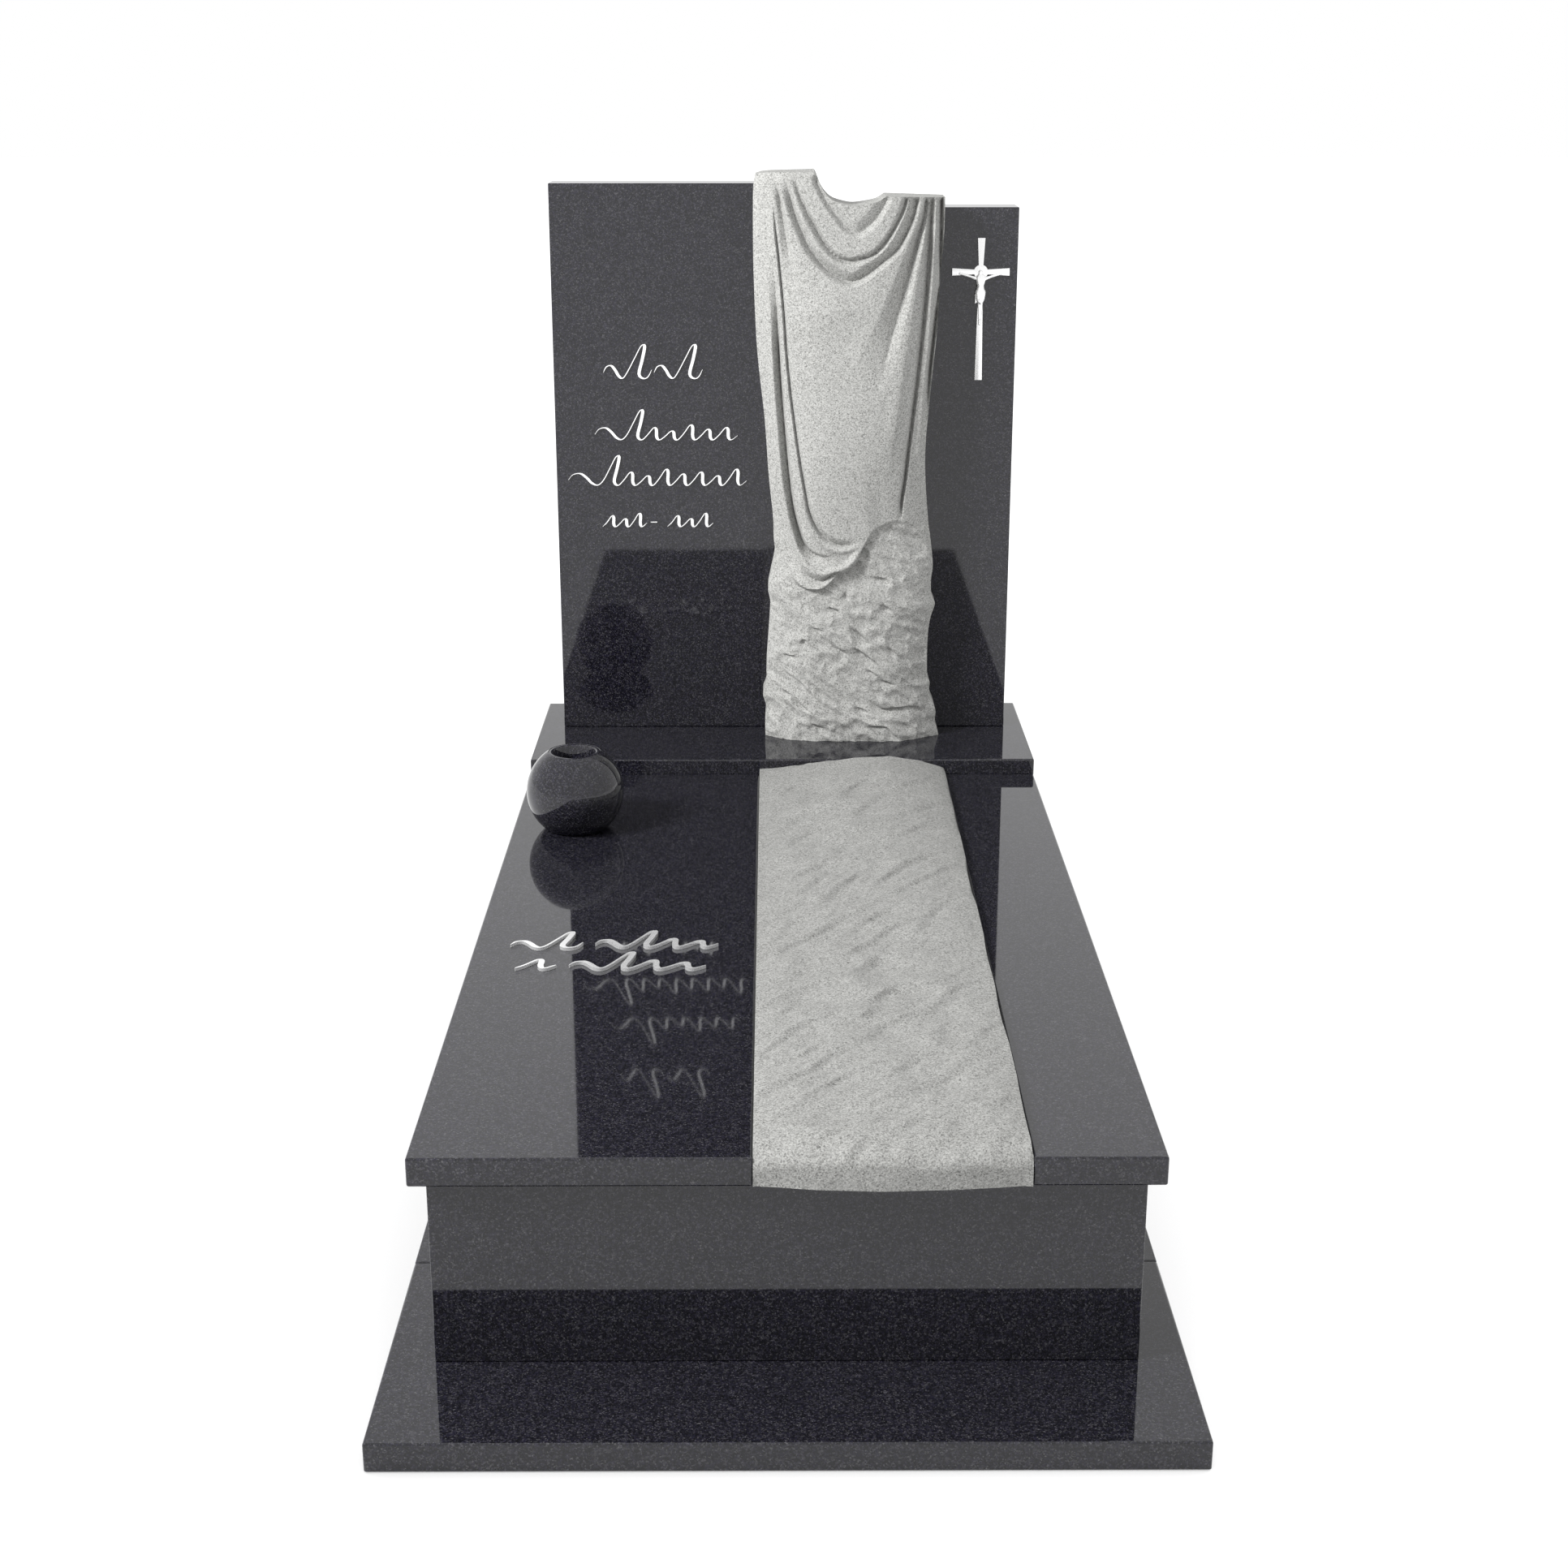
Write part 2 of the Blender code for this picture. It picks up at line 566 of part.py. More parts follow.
def draped_column(finish, group, cutters):
    """The carved block: its front stands proud of the panels and its sawn back fits between them."""
    at = Layout
    left_x = band_centre_x + column_shift_x - column_width / 2
    face_y = at.panel_front - seat_gap
    foot_z = at.panel_foot

    def place(across, up):
        x, depth, z = column_surface(across, up)
        return np.stack((left_x + x, face_y - depth, foot_z + z), axis=1)

    def close(bm):
        for vert in bm.verts:
            if vert.co.z < foot_z + column_height / 1000:
                vert.co.z = foot_z
        bmesh.ops.contextual_create(bm, geom=rim_moved(bm, lambda co: Vector((co.x, face_y, co.z))))

    mesh = closed_from_grid("draped_column", 132, 230, column_triangles, place, close)
    made = add_object("draped_column", mesh, finish, group)
    insert = boxed("column_insert", (at.insert_left, face_y - column_edge_depth / 2, foot_z),
                   (at.insert_right, at.panel_back, foot_z + insert_height))
    boolean(made, "UNION", cutter("column_insert", insert, cutters))


def rock_strip(finish, group):
    """The light strip laid in the cover: sawn sides, a split and crowned top, a bowed split front."""
    at = Layout
    length = at.cover_back - at.cover_front

    def place(across, up):
        x = across * band_width
        up = up * (1 - row_crowding * (1 - up))
        y = up * length
        edge = 1 - np.abs(2 * across - 1) ** 5
        crown = np.sin(np.pi * np.clip(across, 0, 1) ** 1.6) ** 0.8
        rise = strip_edge_rise + (strip_crown_rise - strip_edge_rise) * crown * ease(0.2, 1.0, up)
        rise += (strip_front_rise - strip_edge_rise) * (1 - ease(0.1, 0.5, up)) * edge
        rise += strip_wave * edge * rock_height(x, -y, strip_grain)
        roll = front_roll * (1 + 0.6 * np.array([noise.noise(Vector((v * 11, 2.0, 3.0))) for v in x]))
        rise -= front_drop * (1 - np.sqrt(1 - np.clip(1 - y / roll, 0, 1) ** 2))
        bow = strip_front_bow * (1 - (2 * across - 1) ** 2) * (1 - ease(0.0, 0.02, up))
        ragged = np.array([noise.noise(Vector((v * 9, 5.0, 1.0))) for v in up])
        ragged = (ragged - 0.25) * strip_ragged
        x = x + np.where(across > 0.999, np.minimum(ragged, 0.0), 0.0)
        return np.stack((at.band_left + x, at.cover_front + y - bow, at.cover_top + rise), axis=1)

    def to_slot(co):
        x = at.band_left if co.x < band_centre_x - 0.49 * band_width else co.x
        x = at.band_right if co.x > band_centre_x + 0.47 * band_width else x
        return Vector((x, co.y, min(co.z, at.cover_top)))

    def close(bm):
        rim_moved(bm, to_slot)
        rim = rim_moved(bm, lambda co: Vector((co.x, co.y, at.cover_foot)))
        bmesh.ops.contextual_create(bm, geom=rim)
        bmesh.ops.remove_doubles(bm, verts=bm.verts, dist=0.00001)

    mesh = closed_from_grid("cover_rock_strip", 40, 130, strip_triangles, place, close)
    add_object("cover_rock_strip", mesh, finish, group)


def flat_shape(name, outline, thickness):
    """A flat curve filled to a plate of the given thickness, as a mesh lying in its own XY plane."""
    curve = bpy.data.curves.new(name, "CURVE")
    curve.dimensions = "2D"
    curve.fill_mode = "BOTH"
    curve.extrude = thickness / 2
    spline = curve.splines.new("POLY")
    spline.points.add(len(outline) - 1)
    for point, (x, y) in zip(spline.points, outline):
        point.co = (x, y, 0, 1)
    spline.use_cyclic_u = True
    holder = bpy.data.objects.new(name, curve)
    bpy.context.scene.collection.objects.link(holder)
    bpy.context.view_layer.update()
    mesh = evaluated_mesh(holder)
    bm = bmesh.new()
    bm.from_mesh(mesh)
    bmesh.ops.remove_doubles(bm, verts=bm.verts, dist=0.00001)
    bm.to_mesh(mesh)
    bm.free()
    mesh.name = name
    return mesh


def cross(finish, group, cutters):
    """A flat cross whose arms flare to their ends, with a small disc behind the figure's head."""
    at = Layout
    up = cross_height * cross_arm_share
    down = cross_height - up
    side = cross_span / 2
    thin = cross_waist / 2
    wide = cross_flare / 2
    outline = []
    for turn, reach in ((0, side), (1, up), (2, side), (3, down)):
        angle = turn * math.pi / 2
        for along, over in ((thin, -thin), (reach, -wide), (reach, wide)):
            outline.append((along * math.cos(angle) - over * math.sin(angle),
                            along * math.sin(angle) + over * math.cos(angle)))
    mesh = flat_shape("crucifix_cross", outline, cross_thickness)
    upright = Matrix.Rotation(math.pi / 2, 4, "X")
    middle = cross_middle()
    mesh.transform(Matrix.Translation(middle) @ upright)
    made = add_object("crucifix_cross", mesh, finish, group)
    bm = bmesh.new()
    bmesh.ops.create_cone(bm, cap_ends=True, segments=24, radius1=halo_radius, radius2=halo_radius,
                          depth=cross_thickness)
    halo = bpy.data.meshes.new("crucifix_halo")
    bm.to_mesh(halo)
    bm.free()
    halo.transform(Matrix.Translation(middle) @ upright)
    boolean(made, "UNION", cutter("crucifix_halo", halo, cutters))


def cross_middle():
    """Where the arms of the cross meet, in the middle of its thickness."""
    at = Layout
    x = at.panel_right - cross_from_right_edge
    z = at.panel_foot + right_panel_height - cross_below_panel_top - cross_height * cross_arm_share
    return Vector((x, at.panel_front - seat_gap - cross_thickness / 2, z))


def figure(finish, group):
    """A calm figure in low relief, arms along the cross-bar; sizes are shares of the cross's height."""
    unit = cross_height
    middle = cross_middle()
    back_y = middle.y - cross_thickness / 2 - seat_gap
    deep = figure_relief / unit
    # Each form: two ends across and up, then the radius at each end and the share of the full relief
    forms = [((0.000, 0.003), (0.003, -0.016), 0.017, 0.014, 1.0),
             ((0.000, -0.045), (0.000, -0.085), 0.034, 0.027, 0.9),
             ((0.000, -0.085), (0.000, -0.118), 0.027, 0.032, 0.85),
             ((0.000, -0.128), (0.003, -0.168), 0.038, 0.030, 0.9),
             ((-0.026, -0.130), (-0.034, -0.185), 0.012, 0.005, 0.7),
             ((-0.010, -0.165), (-0.004, -0.255), 0.021, 0.014, 0.9),
             ((0.012, -0.165), (0.006, -0.255), 0.021, 0.014, 0.95),
             ((-0.004, -0.255), (-0.002, -0.338), 0.014, 0.009, 0.8),
             ((0.006, -0.255), (0.001, -0.338), 0.014, 0.009, 0.85),
             ((0.000, -0.335), (0.000, -0.366), 0.012, 0.010, 1.0),
             ((-0.020, -0.040), (-0.095, -0.018), 0.015, 0.010, 0.8),
             ((-0.095, -0.018), (-0.165, -0.002), 0.010, 0.008, 0.7),
             ((0.020, -0.040), (0.095, -0.018), 0.015, 0.010, 0.8),
             ((0.095, -0.018), (0.165, -0.002), 0.010, 0.008, 0.7)]
    bm = bmesh.new()
    for (x0, z0), (x1, z1), start_radius, end_radius, relief in forms:
        length = math.hypot(x1 - x0, z1 - z0)
        beads = max(3, int(length / min(start_radius, end_radius) * 1.6))
        for bead in range(beads + 1):
            t = bead / beads
            radius = start_radius + (end_radius - start_radius) * t
            squash = Matrix.Diagonal((radius, min(radius * 1.1, deep * relief), radius, 1))
            place = Matrix.Translation((x0 + (x1 - x0) * t, 0, z0 + (z1 - z0) * t))
            bmesh.ops.create_icosphere(bm, subdivisions=2, radius=1.0, matrix=place @ squash)
    bmesh.ops.scale(bm, vec=(unit, unit, unit), verts=bm.verts)
    mesh = bpy.data.meshes.new("crucifix_figure")
    bm.to_mesh(mesh)
    bm.free()
    rough = bpy.data.objects.new("crucifix_figure", mesh)
    bpy.context.scene.collection.objects.link(rough)
    skin = rough.modifiers.new("skin", "REMESH")
    skin.mode = "VOXEL"
    skin.voxel_size = cross_height / 300
    thin = rough.modifiers.new("thin", "DECIMATE")
    thin.ratio = figure_thinning
    bpy.context.view_layer.update()
    mesh = evaluated_mesh(rough)
    bm = bmesh.new()
    bm.from_mesh(mesh)
    everything = list(bm.verts) + list(bm.edges) + list(bm.faces)
    cut = bmesh.ops.bisect_plane(bm, geom=everything, plane_co=(0, 0, 0), plane_no=(0, 1, 0),
                                 clear_outer=True)
    rim = [e for e in cut["geom_cut"] if isinstance(e, bmesh.types.BMEdge)]
    bmesh.ops.contextual_create(bm, geom=rim)
    bmesh.ops.recalc_face_normals(bm, faces=bm.faces)
    bmesh.ops.translate(bm, vec=(middle.x, back_y, middle.z), verts=bm.verts)
    bm.to_mesh(mesh)
    bm.free()
    mesh.name = "crucifix_figure"
    add_object("crucifix_figure", mesh, finish, group)


def vase(finish, group):
    """A ball turned from one block, flat below, bored from above."""
    at = Layout
    foot_drop = math.sqrt(vase_radius ** 2 - vase_foot_radius ** 2)
    mouth_rise = math.sqrt(vase_radius ** 2 - vase_mouth_radius ** 2)
    profile = [(vase_bore_radius, foot_drop + mouth_rise)]
    start = math.acos(mouth_rise / vase_radius)
    end = math.pi - math.acos(foot_drop / vase_radius)
    for step in range(vase_rings + 1):
        angle = start + (end - start) * step / vase_rings
        profile.append((vase_radius * math.sin(angle), foot_drop + vase_radius * math.cos(angle)))
    bm = bmesh.new()
    run = [bm.verts.new((0, 0, vase_bore_floor)), bm.verts.new((vase_bore_radius, 0, vase_bore_floor))]
    run += [bm.verts.new((x, 0, z)) for x, z in profile]
    run.append(bm.verts.new((0, 0, 0)))
    for first, second in zip(run, run[1:]):
        bm.edges.new((first, second))
    mesh = bpy.data.meshes.new("vase")
    bm.to_mesh(mesh)
    bm.free()
    made = add_object("vase", mesh, finish, group)
    made.location = (-at.cover_right + vase_from_left_edge, at.cover_back - vase_from_cover_back,
                     at.cover_top + seat_gap)
    turn = made.modifiers.new("turned", "SCREW")
    turn.steps = vase_sides
    turn.render_steps = vase_sides
    turn.use_merge_vertices = True
    turn.merge_threshold = 0.00001
    turn.use_normal_calculate = True


def stroke_line(length, height, swash, waves, tall):
    """The run of a pen: a lead-in swash, one tall slanted stroke, then low waves of a steady pitch."""
    line = [(0.0, 0.0)]
    from_x = 0.0
    if swash:
        wide, high = swash
        lean = tall * pen_slant
        line = [(wide * across, high * up) for across, up in SWASH]
        line += [(wide + lean * across, tall * up) for across, up in TALL_STROKE]
        from_x = line[-1][0]
    if waves == 0:
        return line + [(length * 0.92, height * 0.2), (length, height)]
    pitch = (length - from_x) / (waves + 0.35)
    for wave in range(int(waves)):
        lift = height * WAVE_LIFTS[wave % len(WAVE_LIFTS)]
        for across, up in LOW_WAVE:
            line.append((from_x + (wave + across) * pitch + lift * up * pen_slant / 2, lift * up))
    return line + [(length, height * 0.35)]


def ribbon_outline(line, pen):
    """Both sides of a pen stroke, thick on the way down and thin on the way up."""
    thin, thick = pen
    line = np.array(line)
    along = np.gradient(line, axis=0)
    along /= np.linalg.norm(along, axis=1)[:, None]
    half = (thin + (thick - thin) * np.clip(-along[:, 1], 0, 1)) / 2
    normal = np.stack((-along[:, 1], along[:, 0]), axis=1) * half[:, None]
    return [tuple(p) for p in line + normal] + [tuple(p) for p in (line - normal)[::-1]]


# The opening swash in shares of its width and height, the tall stroke in shares of its lean and height,
# and one low wave in shares of pitch and height
SWASH = [(0.00, 0.30), (0.14, 0.58), (0.36, 0.64), (0.54, 0.42), (0.70, 0.12), (0.88, 0.02)]
TALL_STROKE = [(0.15, 0.20), (0.72, 0.64), (1.16, 0.97), (1.42, 0.97), (1.24, 0.58), (0.98, 0.14),
               (1.30, 0.00)]
LOW_WAVE = [(0.26, 0.40), (0.52, 0.98), (0.70, 0.86), (0.80, 0.24), (1.00, 0.00)]
WAVE_LIFTS = [1.00, 0.72, 1.22, 0.86]

# Rows of strokes: name, place from the left edge and from the foot or front of the plate that carries
# them, length, wave height, swash, waves, tall stroke
PANEL_STROKES = [
    ("panel_stroke_1_left", 0.0905, 0.6616, 0.088, 0.016, (0.040, 0.036), 0, 0.060),
    ("panel_stroke_1_right", 0.1825, 0.6616, 0.088, 0.016, (0.040, 0.036), 0, 0.060),
    ("panel_stroke_2", 0.0725, 0.5496, 0.261, 0.022, (0.056, 0.034), 5, 0.054),
    ("panel_stroke_3", 0.0215, 0.4656, 0.328, 0.024, (0.062, 0.034), 7, 0.054),
    ("panel_stroke_4_left", 0.0825, 0.3876, 0.082, 0.020, None, 3, 0.0),
    ("panel_stroke_4_middle", 0.1715, 0.3956, 0.012, 0.000, None, 0, 0.0),
    ("panel_stroke_4_right", 0.2025, 0.3876, 0.085, 0.020, None, 3, 0.0),
]
COVER_STROKES = [
    ("cover_stroke_1_left", 0.0545, 0.6575, 0.106, 0.020, (0.052, 0.040), 0, 0.060),
    ("cover_stroke_1_right", 0.1795, 0.6615, 0.181, 0.030, (0.050, 0.040), 2, 0.060),
    ("cover_stroke_2_left", 0.0705, 0.5785, 0.058, 0.032, None, 1, 0.0),
    ("cover_stroke_2_right", 0.1475, 0.5785, 0.197, 0.030, (0.054, 0.040), 2, 0.060),
]


def strokes(finish, group):
    at = Layout
    upright = Matrix.Rotation(math.pi / 2, 4, "X")
    for name, x, z, *run in PANEL_STROKES:
        mesh = flat_shape(name, ribbon_outline(stroke_line(*run), panel_pen), panel_stroke_thickness)
        y = at.panel_front - seat_gap - panel_stroke_thickness / 2
        mesh.transform(Matrix.Translation((at.panel_left + x, y, at.panel_foot + z)) @ upright)
        add_object(name, mesh, finish, group)
    for name, x, y, *run in COVER_STROKES:
        mesh = flat_shape(name, ribbon_outline(stroke_line(*run), cover_pen), cover_stroke_thickness)
        z = at.cover_top + seat_gap + cover_stroke_thickness / 2
        mesh.transform(Matrix.Translation((-at.cover_right + x, at.cover_front + y, z)))
        add_object(name, mesh, finish, group)


def main():
    start_clean()
    pieces = new_collection("gravestone_with_sculpture")
    cutters = new_collection("cutters")
    dark = material("polished_dark_granite", (0.035, 0.035, 0.038), 0.08)
    light = material("rock_faced_light_granite", (0.52, 0.52, 0.50), 0.85)
    silver = material("bright_silver_metal", (0.90, 0.90, 0.90), 0.30, metallic=0.6)
    ledge(dark, pieces)
    kerb(dark, pieces)
    cover_plates(dark, pieces)
    rock_strip(light, pieces)
    headstone(dark, pieces)
    draped_column(light, pieces, cutters)
    cross(silver, pieces, cutters)
    figure(silver, pieces)
    vase(dark, pieces)
    strokes(silver, pieces)


main()
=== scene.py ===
"""The looks of a grave: polished dark granite, split and carved light granite, and bright metal.

Metres, +Z up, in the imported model's own frame: +Y runs from the foot of the grave to the headstone.
"""

import json
import math

import bmesh
import bpy
import numpy as np
from mathutils import Matrix, Vector, noise

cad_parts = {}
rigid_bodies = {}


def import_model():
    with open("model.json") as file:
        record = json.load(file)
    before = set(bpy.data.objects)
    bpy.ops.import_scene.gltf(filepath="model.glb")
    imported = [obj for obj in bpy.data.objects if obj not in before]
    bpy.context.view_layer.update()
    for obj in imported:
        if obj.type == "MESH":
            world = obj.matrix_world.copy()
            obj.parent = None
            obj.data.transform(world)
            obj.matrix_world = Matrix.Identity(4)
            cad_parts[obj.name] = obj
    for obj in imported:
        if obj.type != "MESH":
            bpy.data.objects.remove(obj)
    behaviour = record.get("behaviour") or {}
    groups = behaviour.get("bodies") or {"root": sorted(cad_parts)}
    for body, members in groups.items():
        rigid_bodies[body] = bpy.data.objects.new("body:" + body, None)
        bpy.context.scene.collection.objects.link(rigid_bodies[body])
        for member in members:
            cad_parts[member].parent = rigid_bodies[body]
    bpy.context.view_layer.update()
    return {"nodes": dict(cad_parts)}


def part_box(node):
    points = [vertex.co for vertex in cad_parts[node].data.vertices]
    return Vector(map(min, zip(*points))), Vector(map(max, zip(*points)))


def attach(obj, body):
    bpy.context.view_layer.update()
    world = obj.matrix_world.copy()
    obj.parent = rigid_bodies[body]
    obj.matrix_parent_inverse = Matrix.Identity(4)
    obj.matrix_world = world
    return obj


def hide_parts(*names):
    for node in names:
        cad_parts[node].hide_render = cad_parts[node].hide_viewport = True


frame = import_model()

# Camera: place in the model's frame, tilt from straight down, turn to the left, lens on its sensor
camera_place = (-0.01544, -3.33782, 1.60506)
camera_tilt = 71.9017
camera_turn = -0.26496
camera_lens = 52.36
camera_sensor = 36.0
camera_reach = (0.05, 200.0)

# Studio: floor, white surroundings, key light and the wash of light on the floor
floor_size = 60.0
floor_drop = 0.0005
floor_white = 0.98
surround_strength = 1.0
key_size = 1.4
key_power = 560.0
key_place = (-4.0, -2.2, 3.9)
key_aim = (0.1, 0.5, 0.7)
wash_strength = 1.1
wash_place = (0, 0, 4)
wash_spread = math.radians(40)

# Meshes: how near vertices are taken as one, and the angle past which an edge is kept crisp
merge_reach = 0.00001
stone_crease = math.radians(50)
crisp_crease = math.radians(40)
figure_crease = math.radians(60)

# Slabs
seat_gap = 0.0003
arris_round = 0.0032
joint_round = 0.0016
arris_steps = 4
arris_face_share = 4

# Draped column
column_height = 1.026
column_width = 0.336
column_shift_x = -0.009
column_edge_depth = 0.056
column_middle_depth = 0.100
column_columns = 252
column_rows = 364
insert_width = 0.256
insert_height = 0.954
insert_lift = 0.0006
cloth_thickness = 0.009
rock_relief = 0.007
belly_rise = 0.012
fold_roundness = 1.25
fold_margin = 0.004
section_roundness = 3.2
hem_blend = 0.003
belly_level = 0.60
belly_reach = 0.20
thinned_share = 0.8

# Cloth: the shares across within which it comes to lie loose, and the shares up below which it is thin
loose_left = (0.08, 0.22)
loose_right = (0.30, 0.42)
thin_below = (0.38, 0.55)

# Split rock: the cant of its grain, the counts per metre of its forms along and over the grain, their noise
# layers and their shares, and the crest and steepness of facets and chips
rock_cant = math.radians(39.7)
rock_swells = (8, 17)
rock_facets = (20, 48)
rock_chips = (48, 95)
rock_layers = (3.1, 8.7, 5.5)
rock_shares = (1.1, 0.8, 0.32)
facet_ridge = (0.35, 1.6)
chip_ridge = (0.3, 1.5)

# How far the rock's edges fade in, as a share across, and each ledge's ends, as a share of its line
rock_fade = 0.03
ledge_fade = 0.45
ledge_rise = 0.002
ledge_drop = 0.007
ledge_above = 0.022
ledge_below = 0.017
ledge_edge = 0.0022

# Rock-faced strip
strip_edge_rise = 0.010
strip_front_rise = 0.016
strip_crown_rise = 0.033
strip_front_bow = 0.014

# Its top: how flat it stays towards its sides, how far the crown leans and how full it is, and the shares
# of the length over which the crown grows, the front's rise fades and the bow fades
strip_flatness = 5
crown_lean = 1.6
crown_fullness = 0.8
crown_growth = (0.2, 1.0)
front_fade = (0.1, 0.5)
bow_fade = (0.0, 0.02)

# Its skin: broad wave and its grain, the ragged right edge, and the ripples that run off to the right
strip_wave = 0.0030
strip_grain = 0.6
strip_ragged = 0.004
ragged_pitch = 9
ragged_bias = 0.25
ripple_rise = 0.0065
ripple_run = 0.085
ripple_pitch = 0.029
ripple_lean = 0.022
ripple_turn = math.radians(50)
ripple_layer = 1.1
ripple_fade = (0.90, 0.99)

# Its nose: length of the roll and how it changes across, its drop, and the lumps of the split front
front_roll = 0.034
front_roll_change = 0.6
front_roll_pitch = 11
front_drop = 0.026
front_lumps = 0.004
front_lump_pitch = (16, 30)
front_rows = 8
row_crowding = 0.80
strip_columns = 96
strip_rows = 500
slot_snap = (0.01, 0.03)

# Ball vase
vase_radius = 0.082
vase_foot_radius = 0.050
vase_mouth_radius = 0.044
vase_bore_radius = 0.036
vase_bore_floor = 0.024
vase_lip_drop = 0.4
vase_lip_turns = (30, 60, 90, 120, 150, 180)
vase_foot_ease = (0.002, 0.0012)
vase_floor_ease = 0.004
vase_steps = 40
vase_sides = 96

# Crucifix
cross_height = 0.252
cross_arm_share = 0.236
cross_edge_round = 0.0005
cross_edge_steps = 2
figure_relief = 0.007
figure_fullness = 1.1
figure_bead_pitch = 2.5
figure_cells = 460
figure_smoothing = 3

# Strokes
panel_stroke_thickness = 0.003
cover_stroke_thickness = 0.005
panel_pen = (0.0016, 0.0056)
cover_pen = (0.0030, 0.0088)

# Pen: slant, width at the very tip and the share over which it is reached, where the last low dip comes,
# and the room and the height of the run-out after the last wave
pen_slant = 0.42
pen_tip = 0.35
pen_taper = 0.05
stroke_tail = (0.92, 0.2)
wave_end = (0.35, 0.35)

# Finishes: grains are stops of (share of the cells, colour), with the cells' number per metre
DARK_FINE_GRAINS = [(0.0, (0.002, 0.002, 0.003)), (0.50, (0.005, 0.005, 0.006)),
                    (0.75, (0.013, 0.012, 0.016)), (0.93, (0.037, 0.036, 0.041)),
                    (1.0, (0.095, 0.094, 0.096))]
DARK_COARSE_GRAINS = [(0.0, (0.002, 0.002, 0.003)), (0.50, (0.005, 0.005, 0.009)),
                      (0.80, (0.013, 0.012, 0.025)), (1.0, (0.042, 0.041, 0.046))]
LIGHT_GRAINS = [(0.0, (0.20, 0.20, 0.19)), (0.25, (0.26, 0.26, 0.25)), (0.6, (0.32, 0.32, 0.31)),
                (1.0, (0.40, 0.40, 0.385))]
LIGHT_SPECKS = [(0.0, (0.45, 0.45, 0.45)), (0.07, (0.60, 0.60, 0.60)), (0.13, (1.0, 1.0, 1.0)),
                (1.0, (1.0, 1.0, 1.0))]
dark_fine_cells = 680
dark_coarse_cells = 380
dark_coarse_share = 0.5
dark_polish = 0.035
dark_index = 1.52
light_cells = 620
speck_cells = 520
speck_strength = 0.8
light_roughness = 0.85
light_gloss = 0.3
grit_scale = 420
grit_detail = 5
grit_strength = 0.5
grit_depth = 0.0012
# Tints of the two copies of the light granite: the strip's lower tint is painted shade that holds down its
# strongly lit top
column_tint = 1.0
strip_shade_tint = 0.77
metal_white = 0.93
metal_share = 0.75
satin_scale = 900
satin_roughness = (0.20, 0.32)

# Left and right outline of the column, as shares of its width against shares of its height
COLUMN_LEFT = [(0.000, 0.056), (0.020, 0.054), (0.056, 0.059), (0.078, 0.043), (0.099, 0.062),
               (0.136, 0.063), (0.211, 0.079), (0.251, 0.084), (0.274, 0.072), (0.300, 0.086),
               (0.340, 0.110), (0.368, 0.103), (0.406, 0.100), (0.480, 0.077), (0.580, 0.056),
               (0.675, 0.024), (0.745, 0.009), (0.855, -0.002), (0.960, -0.002), (0.985, 0.003),
               (1.000, 0.014)]
COLUMN_RIGHT = [(0.000, 1.025), (0.012, 1.017), (0.028, 1.004), (0.048, 1.005), (0.081, 0.970),
                (0.101, 0.970), (0.114, 0.955), (0.183, 0.954), (0.222, 0.968), (0.247, 0.990),
                (0.264, 0.970), (0.290, 0.966), (0.320, 0.974), (0.370, 0.957), (0.405, 0.942),
                (0.485, 0.922), (0.540, 0.921), (0.600, 0.934), (0.673, 0.953), (0.735, 0.970),
                (0.818, 0.982), (0.907, 0.997), (1.000, 0.997)]

# Top edge: two flat shoulders with the sagging neck of the cloth between them
COLUMN_TOP = [(0.000, 0.996), (0.060, 1.000), (0.280, 1.002), (0.307, 1.002), (0.332, 0.990),
              (0.362, 0.972), (0.406, 0.957), (0.465, 0.950), (0.523, 0.947), (0.596, 0.950),
              (0.648, 0.954), (0.684, 0.961), (0.706, 0.962), (1.000, 0.959)]

# Lower hem of the cloth, as shares of the height against shares of the width
CLOTH_HEM = [(-0.05, 0.400), (0.103, 0.391), (0.123, 0.361), (0.157, 0.339), (0.196, 0.322),
             (0.211, 0.302), (0.242, 0.290), (0.288, 0.283), (0.335, 0.282), (0.388, 0.289),
             (0.434, 0.304), (0.496, 0.317), (0.541, 0.330), (0.572, 0.350), (0.632, 0.385),
             (0.694, 0.398), (0.771, 0.404), (0.866, 0.395), (1.05, 0.380)]

